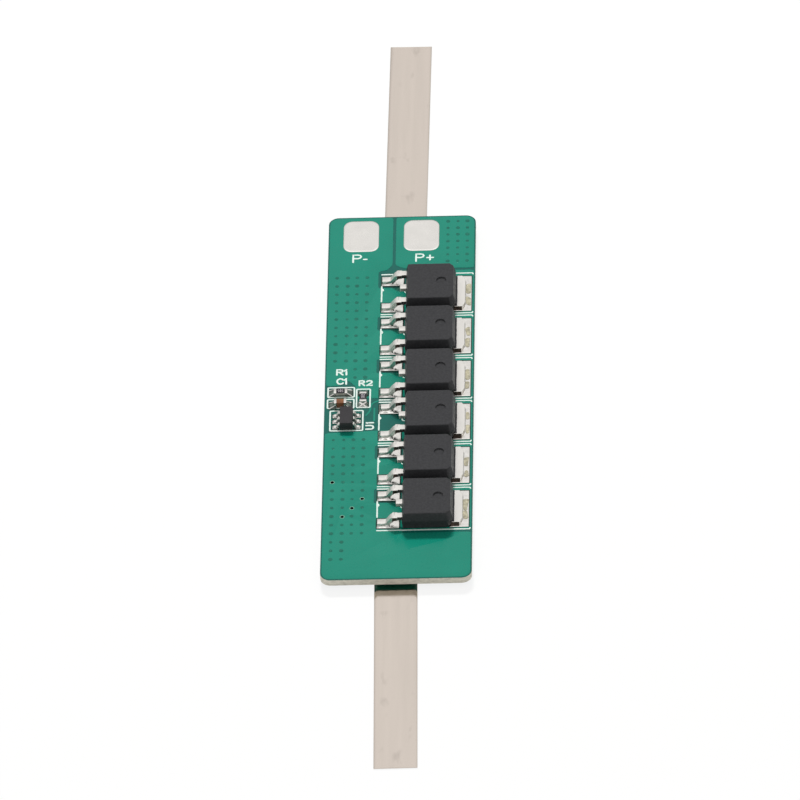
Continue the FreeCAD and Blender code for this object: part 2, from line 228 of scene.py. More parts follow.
def make_finishes(looks):
    """Every material of the board, each made once."""
    metal = {"Metallic": 1.0}
    mask = {"Specular_IOR_Level": 0.27}
    copper, bare, resin, ink, tin, nickel, black, chip, flux = [
        [*getattr(looks, name), 1.0] for name in BoardFinishes.__annotations__]
    # Liquid solder mask, cured over copper: a smooth green gloss, lighter for the metal under it
    finish("solder_mask_over_copper", copper, shaded(copper, 0.93), 5.0, (0.24, 0.32), 0.35, 0.0012,
           **mask)
    # The same mask over bare laminate: darker, because the light sinks into the glass and resin
    finish("solder_mask_over_laminate", bare, shaded(bare, 0.9), 3.0, (0.26, 0.34), 0.35, 0.0012,
           **mask)
    # Glass and epoxy laid bare in an opening of the mask: darkest green-grey, dull
    finish("bare_board", linear("25483F"), linear("1B372F"), 0.3, (0.5, 0.6), 0.15, 0.002,
           Specular_IOR_Level=0.2)
    # Mask bridged over a via's hole: darkest, with nothing pale behind it
    finish("solder_mask_tent", shaded(copper, 0.66), shaded(copper, 0.48), 0.6, (0.2, 0.3), 0.2, 0.001,
           **mask)
    # Mask drawn thin over an open via's rim: pale green, with the tin shining through
    finish("thinned_mask", linear("86B7A2"), linear("6DA48D"), 0.3, (0.25, 0.35), 0.15, 0.001,
           **mask)
    # Copper plating down an open via: dull with oxide, and painted nearly black as the shade inside the
    # hole
    finish("via_plating_painted_dark", linear("16130F"), linear("0B0A08"), 0.3, (0.55, 0.7), 0.1, 0.002,
           Specular_IOR_Level=0.2)
    # Legend ink, screen printed and cured: flat white, a little thin in places
    finish("legend_ink", ink, shaded(ink, 0.9), 0.5, (0.5, 0.65), 0.12, 0.002)
    # Tin, levelled with hot air: a soft mirror that pools and wrinkles slightly
    finish("levelled_tin", tin, shaded(tin, 0.95), 1.6, (0.2, 0.3), 0.5, 0.0015, **metal)
    # Reflowed solder: brighter than the leads, with a fine frost where it froze last
    finish("reflowed_solder", shaded(tin, 1.04), shaded(tin, 0.86), 0.5, (0.12, 0.26), 0.16, 0.003, **metal)
    # Solder on the slopes between the bright crests, grey-green and dull: a painted dark reflection of the
    # dark surroundings those slopes mirror
    finish("solder_with_painted_dark_reflection", linear("78827A"), linear("58645C"), 0.3, (0.2, 0.3), 0.12, 0.003, **metal)
    # Copper leads and tabs with matte tin plate: satin, with faint lines from the stamping strip
    finish("matte_tin_plate", shaded(tin, 1.1), shaded(tin, 1.02), 1.2, (0.4, 0.48), 0.12, 0.0012,
           (1.0, 0.12, 1.0), **metal)
    # The same copper where a shear cut through the plate: bare and streaked by the cut, dark partly with
    # oxide and partly with painted shade and painted dark reflection on these upright faces
    finish("sheared_copper_with_painted_shade", linear("6B574C"), linear("39322E"), 0.35, (0.45, 0.6), 0.1, 0.003,
           (1.0, 1.0, 0.3), Metallic=0.7)
    # Cold rolled nickel strip: warm grey, with long faint rolling lines and a few dull spots
    strip = finish("rolled_nickel", nickel, shaded(nickel, 0.95), 1.1, (0.13, 0.2), 0.14, 0.0004,
                   (1.0, 0.06, 1.0), **metal)
    add_dull_spots(strip, nickel)
    # Epoxy moulding compound, spark-eroded mould: charcoal with a fine even grain, drawn at 0.14 mm
    finish("transistor_moulding_compound", black, shaded(black, 0.68), 0.26, (0.38, 0.5), 0.14, 0.006,
           Specular_IOR_Level=0.2)
    # The small package's compound is smoother and a little warmer
    finish("chip_moulding_compound", chip, shaded(chip, 0.85), 0.8, (0.42, 0.52), 0.1, 0.003,
           Specular_IOR_Level=0.25)
    # Sintered alumina: dull white ceramic with a sugary grain
    finish("resistor_alumina", linear("B9B8B0"), linear("A3A29A"), 0.4, (0.5, 0.6), 0.07, 0.003)
    # Fired dielectric: brown ceramic, a little glossy
    finish("fired_dielectric", linear("8A5A38"), linear("724930"), 0.5, (0.35, 0.45), 0.08, 0.003,
           Specular_IOR_Level=0.35)
    # Fired black overglaze: glassy
    finish("resistor_overglaze", linear("1B1A1D"), linear("262428"), 0.5, (0.26, 0.36), 0.1, 0.002,
           Specular_IOR_Level=0.3)
    # Pale marking paint on the overglaze
    finish("marking_paint", linear("CFC6CB"), linear("B0A8AD"), 0.2, (0.5, 0.6), 0.08, 0.001)
    # Rosin flux residue: a straw-coloured glassy film
    finish("flux_residue", flux, shaded(flux, 0.5), 0.45, (0.12, 0.22), 0.25, 0.02, Coat_Weight=0.4)
    make_laminate(resin)


def opened(material):
    """A finish's tree, its shader and the socket that colours it."""
    tree = material.node_tree
    shader = next(node for node in tree.nodes if node.type == "BSDF_PRINCIPLED")
    return tree, shader, shader.inputs["Base Color"].links[0].from_socket


def add_dull_spots(material, nickel):
    """Sparse dull spots on the nickel, one to two millimetres across, as fingers and rollers leave."""
    tree, shader, clean = opened(material)
    spots = wander(tree, 2.2, -3.2, 1.0, (1.0, 0.5, 1.0), 5.0)
    sparse = add(tree, "ShaderNodeClamp", links={"Value": spots})
    spotted = add(tree, "ShaderNodeMix", {7: shaded(nickel, 0.84)}, {0: sparse, 6: clean}, data_type="RGBA")
    tree.links.new(spotted.outputs[2], shader.inputs["Base Color"])


def make_laminate(resin):
    """Glass cloth and epoxy, routed to size: green with mask on its faces, straw and fibrous at the cut."""
    made = bpy.data.materials["solder_mask_over_laminate"].copy()
    made.name = "routed_laminate"
    tree, shader, green = opened(made)
    # Threads lie in layers 0.17 mm apart and show as long pale and dark flecks
    layers = wander(tree, 0.17, 0, 1, (0.25, 0.25, 1.0), 2.0)
    flecks = wander(tree, 0.42, 0, 1, (1.0, 1.0, 2.0), 4.0)
    woven = add(tree, "ShaderNodeMix", {6: resin, 7: shaded(resin, 0.66)}, {0: layers}, data_type="RGBA")
    cut = add(tree, "ShaderNodeMix", {7: shaded(resin, 1.1)}, {0: flecks, 6: woven.outputs[2]},
              data_type="RGBA")
    facing = add(tree, "ShaderNodeNewGeometry")
    parts = add(tree, "ShaderNodeSeparateXYZ", links={"Vector": facing.outputs["True Normal"]})
    size = add(tree, "ShaderNodeMath", links={0: parts.outputs["Z"]}, operation="ABSOLUTE")
    flat = add(tree, "ShaderNodeMath", {1: 0.5}, {0: size}, operation="GREATER_THAN")
    faces = add(tree, "ShaderNodeMix", links={0: flat, 6: cut.outputs[2], 7: green}, data_type="RGBA")
    tree.links.new(faces.outputs[2], shader.inputs["Base Color"])
    # The cut is duller than the mask
    rough = shader.inputs["Roughness"].links[0].from_socket
    dull = add(tree, "ShaderNodeMath", {1: 0.35}, {0: flat}, operation="MULTIPLY")
    open_grain = add(tree, "ShaderNodeMath", {1: 0.35}, {0: rough}, operation="ADD")
    settled = add(tree, "ShaderNodeMath", links={0: open_grain, 1: dull}, operation="SUBTRACT")
    tree.links.new(settled.outputs[0], shader.inputs["Roughness"])


# Meshes


def show(mesh, name, material=None, nodes=()):
    """Show a finished mesh as a piece of the board, in the place of the named solids."""
    mesh.name = name
    if material:
        mesh.materials.append(bpy.data.materials[material])
    piece = bpy.data.objects.new(name, mesh)
    bpy.context.scene.collection.objects.link(piece)
    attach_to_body(piece, "root")
    if nodes:
        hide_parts(*nodes)
    return piece


def settled_mesh(bm, sharp):
    """A mesh of what has been built, shaded smooth up to a sharp angle in degrees."""
    mesh = bpy.data.meshes.new("built")
    bm.to_mesh(mesh)
    bm.free()
    smooth(mesh, sharp)
    return mesh


def finished_mesh(bm, sharp=60.0):
    """The same with its doubles merged and its faces turned outwards."""
    bmesh.ops.remove_doubles(bm, verts=bm.verts, dist=0.0005 * MM)
    bmesh.ops.recalc_face_normals(bm, faces=bm.faces)
    return settled_mesh(bm, sharp)


def smooth(mesh, sharp):
    """Shade a mesh smooth, apart from edges sharper than the angle in degrees."""
    mesh.polygons.foreach_set("use_smooth", [True] * len(mesh.polygons))
    mesh.set_sharp_from_angle(angle=math.radians(sharp))


def evaluated(mesh, prepare):
    """The plain mesh that a mesh becomes under the modifiers that prepare adds."""
    carrier = bpy.data.objects.new("carrier", mesh)
    bpy.context.scene.collection.objects.link(carrier)
    prepare(carrier)
    depsgraph = bpy.context.evaluated_depsgraph_get()
    made = bpy.data.meshes.new_from_object(carrier.evaluated_get(depsgraph))
    bpy.data.objects.remove(carrier)
    return made


def bare_sides(piece, test):
    """Give the upright side faces that pass a test of their corners the finish of sheared copper, whose
    darkness is partly painted shade.
    """
    mesh = piece.data
    mesh.materials.append(bpy.data.materials["sheared_copper_with_painted_shade"])
    for face in mesh.polygons:
        if abs(face.normal.y) > 0.9 and test([mesh.vertices[i].co for i in face.vertices]):
            face.material_index = 1


def edge_angle(edge):
    """How much two faces turn at an edge, in degrees, and 0 at a hollow edge."""
    if len(edge.link_faces) != 2 or not edge.is_convex:
        return 0.0
    return math.degrees(edge.calc_face_angle(0.0))


def ease(node, width, shortest, material):
    """Show a copy of a solid in its place, with its longer outer edges eased by a small radius."""
    bm = bmesh.new()
    bm.from_mesh(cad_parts[node].data)
    bmesh.ops.remove_doubles(bm, verts=bm.verts, dist=1e-6)
    bmesh.ops.dissolve_limit(bm, angle_limit=math.radians(0.6), verts=bm.verts, edges=bm.edges)
    edges = [edge for edge in bm.edges if edge_angle(edge) > 18 and edge.calc_length() > shortest]
    bmesh.ops.bevel(bm, geom=edges, offset=width, segments=2, profile=0.5, affect="EDGES",
                    clamp_overlap=False)

    def weigh(carrier):
        carrier.modifiers.new("Weighted", "WEIGHTED_NORMAL").keep_sharp = True

    mesh = evaluated(settled_mesh(bm, 50.0), weigh)
    return show(mesh, node + "_eased", material, [node])


def join_rings(bm, rings):
    """Join each ring of vertices to the next with a band of faces."""
    for here, there in zip(rings, rings[1:]):
        for k in range(len(here)):
            j = (k + 1) % len(here)
            bm.faces.new((here[k], here[j], there[j], there[k]))


def rounded(points, radius, closed=True, steps=4):
    """A route with an arc at each corner, from its points. A point may carry a radius of its own."""
    made = []
    count = len(points)
    for i, point in enumerate(points):
        if not closed and i in (0, count - 1):
            made.append(point)
            continue
        here = Vector(point[:2])
        before = Vector(points[i - 1][:2]) - here
        after = Vector(points[(i + 1) % count][:2]) - here
        own = point[2] if len(point) > 2 else radius
        reach = min(own, before.length / 2.2, after.length / 2.2)
        start = here + before.normalized() * reach
        end = here + after.normalized() * reach
        for k in range(steps + 1):
            t = k / steps
            spot = start * (1 - t) ** 2 + here * 2 * t * (1 - t) + end * t ** 2
            made.append(tuple(spot))
    return made


def divided(points, step):
    """A route with extra points, no further apart than a step."""
    made = [points[0]]
    for start, end in zip(points, points[1:]):
        a, b = Vector(start), Vector(end)
        count = max(1, math.ceil((b - a).length / step))
        made += [tuple(a.lerp(b, k / count)) for k in range(1, count + 1)]
    return made


def divided_loop(points, step, stray):
    """A closed route with extra points, no further apart than a step, that stray a little sideways."""
    spots = divided(points + points[:1], step)[:-1]
    made = []
    for x, y in spots:
        shift = noise.noise_vector(Vector((x, y, 0.5)) * 2.0) * stray
        made.append((x + shift.x, y + shift.y))
    return made


def plate(outlines, low, thickness):
    """A thin plate with eased edges through closed outlines in millimetres. An inner outline is a hole."""
    easing = thickness / MM * 0.3
    curve = bpy.data.curves.new("plate", "CURVE")
    curve.dimensions = "2D"
    curve.fill_mode = "BOTH"
    curve.extrude = thickness / MM / 2 - easing
    curve.bevel_depth = easing
    curve.bevel_resolution = 1
    for points in outlines:
        spline = curve.splines.new("POLY")
        spline.points.add(len(points) - 1)
        for spot, (x, y) in zip(spline.points, points):
            spot.co = (x, y, 0, 1)
        spline.use_cyclic_u = True
    # The outline is filled at a thousand times its size, because the fill works to a fixed fineness
    mesh = evaluated(curve, lambda carrier: None)
    mesh.transform(Matrix.Translation((0, BOARD_MIDDLE, low + thickness / 2)) @ Matrix.Scale(MM, 4))
    bm = bmesh.new()
    bm.from_mesh(mesh)
    return finished_mesh(bm, 30.0)


def circle(x, y, radius, count=20):
    """The points of a circle."""
    turns = [2 * math.pi * k / count for k in range(count)]
    return [(x + radius * math.cos(turn), y + radius * math.sin(turn)) for turn in turns]


def route_mesh(routes, height):
    """Edges along routes given in millimetres from the board's middle, at one height."""
    vertices = []
    edges = []
    for route in routes:
        first = len(vertices)
        vertices += [(x * MM, y * MM + BOARD_MIDDLE, height) for x, y in route]
        edges += [(k, k + 1) for k in range(first, len(vertices) - 1)]
    mesh = bpy.data.meshes.new("routes")
    mesh.from_pydata(vertices, edges, [])
    return mesh


# Geometry Nodes


def start_tree(name, sizes):
    """Start a tree with a geometry input, named sizes and a finish."""
    tree = bpy.data.node_groups.new(name, "GeometryNodeTree")
    tree.interface.new_socket("Geometry", in_out="INPUT", socket_type="NodeSocketGeometry")
    for label, value in sizes.items():
        socket = tree.interface.new_socket(label, in_out="INPUT", socket_type="NodeSocketFloat")
        socket.default_value = value
    tree.interface.new_socket("Finish", in_out="INPUT", socket_type="NodeSocketMaterial")
    tree.interface.new_socket("Geometry", in_out="OUTPUT", socket_type="NodeSocketGeometry")
    return tree, add(tree, "NodeGroupInput")


def end_tree(tree, given, geometry):
    """End a tree in real geometry with its finish set."""
    real = add(tree, "GeometryNodeRealizeInstances", links={"Geometry": geometry})
    dressed = add(tree, "GeometryNodeSetMaterial",
                  links={"Geometry": real, "Material": given.outputs["Finish"]})
    add(tree, "NodeGroupOutput", links={0: dressed})
    return tree


def stroke_tree():
    """Printed or etched lines: a flat band along each route, with round joints and an uneven edge."""
    tree, given = start_tree("printed_strokes",
                             {"Width": 0.18 * MM, "Thickness": 0.03 * MM, "Unevenness": 0.0})
    place = add(tree, "GeometryNodeInputPosition")
    field = add(tree, "ShaderNodeTexNoise", {"Scale": 1 / (0.7 * MM), "Detail": 1.0},
                {"Vector": place})
    centred = add(tree, "ShaderNodeVectorMath", {1: (0.5, 0.5, 0.5)}, {0: field.outputs["Color"]},
                  operation="SUBTRACT")
    level = add(tree, "ShaderNodeVectorMath", {1: (1, 1, 0)}, {0: centred}, operation="MULTIPLY")
    offset = add(tree, "ShaderNodeVectorMath",
                 links={0: level, "Scale": given.outputs["Unevenness"]}, operation="SCALE")
    moved = add(tree, "GeometryNodeSetPosition",
                links={"Geometry": given.outputs["Geometry"], "Offset": offset})
    curves = add(tree, "GeometryNodeMeshToCurve", links={"Mesh": moved})
    upright = add(tree, "GeometryNodeSetCurveNormal", links={"Curve": curves}, mode="Z_UP")
    section = add(tree, "GeometryNodeCurvePrimitiveQuadrilateral",
                  links={"Width": given.outputs["Width"], "Height": given.outputs["Thickness"]})
    band = add(tree, "GeometryNodeCurveToMesh", {"Fill Caps": True},
               {"Curve": upright, "Profile Curve": section})
    half = add(tree, "ShaderNodeMath", {1: 0.5}, {0: given.outputs["Width"]}, operation="MULTIPLY")
    # A joint is a little thinner than the band, so that the two have no face in common
    thinner = add(tree, "ShaderNodeMath", {1: 0.84}, {0: given.outputs["Thickness"]}, operation="MULTIPLY")
    joint = add(tree, "GeometryNodeMeshCylinder", {"Vertices": 10},
                {"Radius": half, "Depth": thinner})
    joints = add(tree, "GeometryNodeInstanceOnPoints",
                 links={"Points": moved, "Instance": joint})
    both = add(tree, "GeometryNodeJoinGeometry", links={"Geometry": band})
    tree.links.new(joints.outputs[0], both.inputs["Geometry"])
    return end_tree(tree, given, both)


def tent_tree():
    """Low round caps of mask, one on each point."""
    tree, given = start_tree("via_tents",
                             {"Foot radius": 0.3 * MM, "Top radius": 0.2 * MM, "Height": 0.01 * MM})
    cap = add(tree, "GeometryNodeMeshCone", {"Vertices": 14},
              {"Radius Bottom": given.outputs["Foot radius"], "Radius Top": given.outputs["Top radius"],
               "Depth": given.outputs["Height"]})
    # No two tents are filled alike
    sizes = add(tree, "FunctionNodeRandomValue", {2: 0.72, 3: 1.12, "Seed": 4}, data_type="FLOAT")
    caps = add(tree, "GeometryNodeInstanceOnPoints",
               links={"Points": given.outputs["Geometry"], "Instance": cap,
                      "Scale": sizes.outputs[1]})
    return end_tree(tree, given, caps)


def ring_tree():
    """Round-backed rings, one on each point."""
    tree, given = start_tree("rings", {"Ring radius": 0.28 * MM, "Band radius": 0.07 * MM, "Flatness": 0.4})
    route = add(tree, "GeometryNodeCurvePrimitiveCircle", {"Resolution": 20},
                {"Radius": given.outputs["Ring radius"]})
    section = add(tree, "GeometryNodeCurvePrimitiveCircle", {"Resolution": 8},
                  {"Radius": given.outputs["Band radius"]})
    ring = add(tree, "GeometryNodeCurveToMesh",
               links={"Curve": route, "Profile Curve": section})
    flat = add(tree, "ShaderNodeCombineXYZ", {"X": 1.0, "Y": 1.0}, {"Z": given.outputs["Flatness"]})
    pressed = add(tree, "GeometryNodeTransform",
                  links={"Geometry": ring, "Scale": flat})
    rings = add(tree, "GeometryNodeInstanceOnPoints",
                links={"Points": given.outputs["Geometry"], "Instance": pressed})
    return end_tree(tree, given, rings)


def grown(tree, mesh, material, **sizes):
    """The plain mesh that a named tree makes from a mesh, with its sizes and its finish set."""
    def attach(carrier):
        modifier = carrier.modifiers.new("Tree", "NODES")
        modifier.node_group = bpy.data.node_groups[tree]
        sockets = {item.name: item.identifier for item in modifier.node_group.interface.items_tree
                   if item.item_type == "SOCKET" and item.in_out == "INPUT"}
        for label, value in sizes.items():
            modifier[sockets[label.replace("_", " ")]] = value
        modifier[sockets["Finish"]] = bpy.data.materials[material]

    made = evaluated(mesh, attach)
    smooth(made, 35.0)
    return made


# Solder


def stations(low, high, marks, step):
    """Places from low to high: fine beside the ends and beside each mark, and a step apart elsewhere."""
    count = max(1, round((high - low) / step))
    places = {low + (high - low) * k / count for k in range(1, count)}
    for spot in (low, high, *marks):
        for near in (0.0, 0.015, 0.04, 0.08, 0.13):
            places.update((spot - near * MM, spot + near * MM))
    kept = []
    for place in sorted(place for place in places if low <= place <= high):
        if not kept or place - kept[-1] > 0.008 * MM:
            kept.append(place)
    kept[-1] = high
    return kept


def foot_sides(foot, runs, cut=None):
    """A foot's sides, each an outward direction and a distance, and the lengths of the slopes beside them.

    Foot is a rectangle (x0, x1, y0, y1), and runs are the slopes' lengths on its sides in that order.
    Cut takes its two corners at x1 off, along x and along y.
    """
    x0, x1, y0, y1 = foot
    sides = [(-1, 0, -x0), (1, 0, x1), (0, -1, -y0), (0, 1, y1)]
    if not cut:
        return sides, runs
    across, along = [c * MM for c in cut]
    size = math.hypot(across, along)
    u, v = along / size, across / size
    sides += [(u, v, u * x1 + v * (y1 - along)), (u, -v, u * x1 - v * (y0 + along))]
    return sides, (*runs, (runs[1] + runs[3]) / 2, (runs[1] + runs[2]) / 2)


def hip_crests(out, across, narrow):
    """How near a spot is to a crest that runs from a block's corner to the land's corner, from 0 to 1.

    Out is 0 at the block and 1 at the land's far edge, and across is -1 to 1 over the land's width.
    """
    return max(0.0, 1 - abs(abs(across) - (narrow + (0.9 - narrow) * out)) / 0.16)


def waisted_crests(out, across, narrow):
    """The same for two crests that draw together half way out and part again."""
    return max(0.0, 1 - abs(abs(across) - narrow * abs(1 - 2 * out)) / 0.17, 1 - abs(out - 0.96) / 0.1)


def tinned_land(bm, land, foot, runs, film, climb, corner, step, cut=None, hollowness=2.4, crest=None,
                crest_height=0.0):
    """Add a tinned land: a film with rounded edges that climbs in hollow slopes to the foot standing on it.

    Land and foot are rectangles (x0, x1, y0, y1). Climb gives the solder's height at the metal from how far
    along the foot it is, from -1 to 1. Crest says how near a place (x, y) is to a crest of the solder. The
    faces between the crests take the second material, which paints a dark reflection on them.
    """
    x0, x1, y0, y1 = land
    sides, runs = foot_sides(foot, runs, cut)
    xs = stations(x0, x1, foot[:2], step)
    rim = 0.1 * MM
    rows = []
    bright = set()
    for y in stations(y0, y1, foot[2:], step):
        row = []
        for x in xs:
            # The square corner is drawn in to a round one
            sx, sy = x, y
            cx = min(max(x, x0 + corner), x1 - corner)
            cy = min(max(y, y0 + corner), y1 - corner)
            edge = min(x - x0, x1 - x, y - y0, y1 - y)
            if cx != x and cy != y:
                u, v = (x - cx) / corner, (y - cy) / corner
                sx = cx + corner * u * math.sqrt(1 - v * v / 2)
                sy = cy + corner * v * math.sqrt(1 - u * u / 2)
                edge = corner - math.hypot(sx - cx, sy - cy)
            rise = math.sqrt(max(0.0, 1 - (1 - min(1.0, edge / rim)) ** 2))
            gaps = [u * sx + v * sy - distance for u, v, distance in sides]
            ridge = crest(sx, sy) if crest else 0.0
            if max(gaps) < 0:
                height = film - 0.01 * MM
            else:
                height = film + noise.noise(Vector((sx, sy, 0.3)) / (0.45 * MM)) * 0.008 * MM
                share = min(1 - gap / run if run > 0 else 1.0 for gap, run in zip(gaps, runs))
                share = max(0.0, min(1.0, share))
                along = max(-1.0, min(1.0, 2 * (sx - foot[0]) / (foot[1] - foot[0]) - 1))
                patch = 1 + 0.35 * noise.noise(Vector((sx, sy, 1.7)) / (0.5 * MM))
                height += climb(along) * patch * share ** hollowness
                height += crest_height * ridge
            spot = bm.verts.new((sx, sy, BOARD_TOP + rise * height))
            if ridge > 0.25:
                bright.add(spot)
            row.append(spot)
        rows.append(row)
    for under, over in zip(rows, rows[1:]):
        for k in range(len(xs) - 1):
            face = bm.faces.new((under[k], under[k + 1], over[k + 1], over[k]))
            # Faces off the crests take the second material, which paints a dark reflection on the slopes
            if crest and not bright.intersection(face.verts):
                face.material_index = 1
    outline = rows[0] + [row[-1] for row in rows[1:]]
    outline += rows[-1][-2::-1] + [row[0] for row in rows[-2:0:-1]]
    bm.faces.new(list(reversed(outline)))


def rounded_rectangle(rectangle, inset, radius, steps=7):
    """The points of a rectangle (x0, x1, y0, y1) that is drawn in by an inset and has round corners."""
    x0, x1, y0, y1 = rectangle
    half_x, half_y = (x1 - x0) / 2 - inset, (y1 - y0) / 2 - inset
    radius = max(0.02 * MM, min(radius, half_x * 0.98, half_y * 0.98))
    points = []
    for quarter, (sx, sy) in enumerate(((1, 1), (-1, 1), (-1, -1), (1, -1))):
        for k in range(steps + 1):
            turn = math.pi / 2 * (quarter + k / steps)
            points.append(((x0 + x1) / 2 + sx * (half_x - radius) + radius * math.cos(turn),
                           (y0 + y1) / 2 + sy * (half_y - radius) + radius * math.sin(turn)))
    return points


def pooled(bm, rectangle, radius, low, thickness, swell, way=1, ragged=0.0):
    """Add a pool on a rounded rectangle: a full rim, a middle that swells slightly and a ragged outline."""
    # How far in from the rim, in millimetres, and the share of the full thickness there
    levels = [(0.0, 0.0), (0.02, 0.45), (0.06, 0.72), (0.12, 0.9), (0.2, 1.0), (0.35, 1.0), (0.6, 0.97),
              (1.0, 0.95), (1.5, 0.97), (1.9, 1.0)]
    x0, x1, y0, y1 = rectangle
    rings = []
    for inset, share in levels:
        inset *= MM
        if min((x1 - x0) / 2, (y1 - y0) / 2) - inset < 0.05 * MM:
            break
        ring = []
        for x, y in rounded_rectangle(rectangle, inset, radius - inset):
            wave = noise.noise(Vector((x, y, 0.7)) / (1.3 * MM)) * swell * min(1, inset / (0.3 * MM))
            stray = noise.noise_vector(Vector((x, y, 2.1)) / (0.6 * MM)) * ragged
            ring.append(bm.verts.new((x + stray.x, y + stray.y, low + way * (thickness * share + wave))))
        rings.append(ring)
    join_rings(bm, rings)
    bm.faces.new(rings[-1])
    bm.faces.new(list(reversed(rings[0])))


def span(node):
    """A solid's rectangle on the board: x0, x1, y0, y1."""
    low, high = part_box(node)
    return low.x, high.x, low.y, high.y


# Lands


def middle_along(node):
    """A solid's middle along the board."""
    return sum(span(node)[2:]) / 2


def row_middles():
    """The middle of each transistor's lands, in millimetres from the board's middle."""
    return [(middle_along("transistor_%d_solder" % number) - BOARD_MIDDLE) / MM for number in TRANSISTORS]


def lead_lands(name):
    """The lands of a transistor's gate and source leads."""
    x0 = span(name + "_solder")[0]
    half = LEAD_LAND_HALF * MM
    middles = [middle_along(name + "_solder") + way * LEAD_PITCH * MM for way in (1, -1)]
    return [(x0, LEAD_LAND_END * MM, middle - half, middle + half) for middle in middles]


def drain_land(name):
    """The free part of the land under a transistor's tab."""
    x1, y0, y1 = span(name + "_solder")[1:]
    return span(name + "_drain_tab")[1] - DRAIN_LAND * MM, x1, y0, y1 - DRAIN_LAND_LESS * MM


def chip_land(number):
    """The land of one of the chip's leads."""
    x0, x1 = span("protection_chip_solder")[:2]
    lead = "protection_chip_lead_%d" % number
    a, b = span(lead)[:2]
    middle = middle_along(lead)
    heel = (CHIP_FOOT + CHIP_LAND_INSET) * MM
    ends = (x0, a + heel) if number < 4 else (b - heel, x1)
    return (*ends, middle - CHIP_LAND_HALF * MM, middle + CHIP_LAND_HALF * MM)


def block_lands(name, upright):
    """The two lands of a resistor or capacitor, from just under the block's ends outwards."""
    x0, x1, y0, y1 = span(name + "_solder")
    a, b, c, d = span(name + "_end_caps")
    inset = BLOCK_LAND_INSET * MM
    if upright:
        return (x0, x1, y0, c + inset), (x0, x1, d - inset, y1)
    return (x0, a + inset, y0, y1), (b - inset, x1, y0, y1)


# Settings


def length(name, description, millimetres):
    """A size that the user can change."""
    return bpy.props.FloatProperty(name=name, description=description, default=millimetres * MM, min=0.0,
                                   unit="LENGTH", precision=5)


def tint(name, description, colour):
    """A colour that the user can change."""
    return bpy.props.FloatVectorProperty(name=name, description=description, default=linear(colour)[:3],
                                         min=0.0, max=1.0, size=3, subtype="COLOR")


class BoardFinishes(bpy.types.PropertyGroup):
    """Colours of the board's materials."""
    mask_on_copper: tint("Mask on copper", "Solder mask over a copper pour", "12846F")
    mask_on_laminate: tint("Mask on laminate", "Solder mask over bare laminate", "0B5F55")
    laminate: tint("Laminate", "Glass and epoxy at the routed edge", "D2CEBF")
    ink: tint("Ink", "Printed legend", "E4F2EA")
    tin: tint("Tin", "Tin and solder", "E0DDD8")
    nickel: tint("Nickel", "Nickel strips", "D1C6BC")
    moulding: tint("Moulding", "Transistor moulding compound", "39393B")
    chip_moulding: tint("Chip moulding", "Protection chip's moulding compound", "363436")
    flux: tint("Flux", "Flux residue beside the tabs", "C6BFA2")


class CopperSizes(bpy.types.PropertyGroup):
    """Sizes of the copper under the mask."""
    setback: length("Setback", "From the board's edge to the copper", 0.17)
    corner: length("Corner", "Radius of a pour at the board's corners", 1.1)
    thickness: length("Thickness", "Height of a masked pour above bare laminate", 0.025)
    clearance: length("Clearance", "From a gate land to the pour round it", 0.38)
    trace: length("Trace", "Width of a signal trace", 0.21)
    opening: length("Opening", "From a land's edge to the edge of its opening in the mask", 0.09)


class ViaSizes(bpy.types.PropertyGroup):
    """Sizes of the vias."""
    foot: length("Foot", "Radius of a tent's foot", 0.25)
    top: length("Top", "Radius of a tent's top", 0.17)
    height: length("Height", "Height of a tent above the mask", 0.008)
    ring: length("Ring", "Middle radius of an open via's rim", 0.245)
    band: length("Band", "Half width of that rim", 0.045)


class PrintSizes(bpy.types.PropertyGroup):
    """Sizes of the printed legend."""
    line: length("Line", "Width of a printed outline", 0.18)
    letter: length("Letter", "Width of a letter's stroke", 0.22)
    thickness: length("Thickness", "Thickness of the ink on a pour", 0.015)
    unevenness: length("Unevenness", "How far a stroke strays sideways", 0.05)
    dot: length("Dot", "Radius of the ring beside each transistor's first lead", 0.3)


class SolderSizes(bpy.types.PropertyGroup):
    """Sizes of the solder."""
    film: length("Film", "Thickness of the tin on a land", 0.06)
    climb: length("Climb", "How far solder climbs at the toe and heel of a foot", 0.3)
    tab_climb: length("Tab climb", "How far solder climbs the end of a transistor's tab", 0.08)
    ridge: length("Ridge", "Bead where two slopes of solder meet", 0.035)
    corner: length("Corner", "Radius of a land's corners", 0.12)
    swell: length("Swell", "How unevenly tin pools on an output pad", 0.012)


class PackageSizes(bpy.types.PropertyGroup):
    """Sizes of the packages' edges."""
    moulding_edge: length("Moulding edge", "Radius of a transistor moulding's edges", 0.11)
    chip_edge: length("Chip edge", "Radius of the chip moulding's edges", 0.05)
    # The moulding's end stands back by this gap, and the dark skin left on the tab there is painted shade
    tab_gap: length("Tab gap", "Width of the flash beside a transistor's moulding, on its tab", 0.18)
    dimple: length("Dimple", "How much deeper the ejector's dimple is drawn than it is in the solid", 0.09)
    metal_edge: length("Metal edge", "Radius of stamped metal's edges", 0.05)
    block_edge: length("Block edge", "Radius of a ceramic block's edges", 0.035)


class StripSizes(bpy.types.PropertyGroup):
    """Sizes of the nickel strips' shape."""
    waviness: length("Waviness", "How far a strip lifts off the surface it lies on", 0.03)
    edge: length("Edge", "Radius of a strip's slit edges", 0.03)


class StageLight(bpy.types.PropertyGroup):
    """Light of the stage."""
    key: bpy.props.FloatProperty(name="Key", description="Power of the key lamp", default=30.5, min=0.0,
                                 unit="POWER")
    fill: bpy.props.FloatProperty(name="Fill", description="Strength of the light from all round",
                                  default=0.48, min=0.0, subtype="FACTOR")


# Pieces


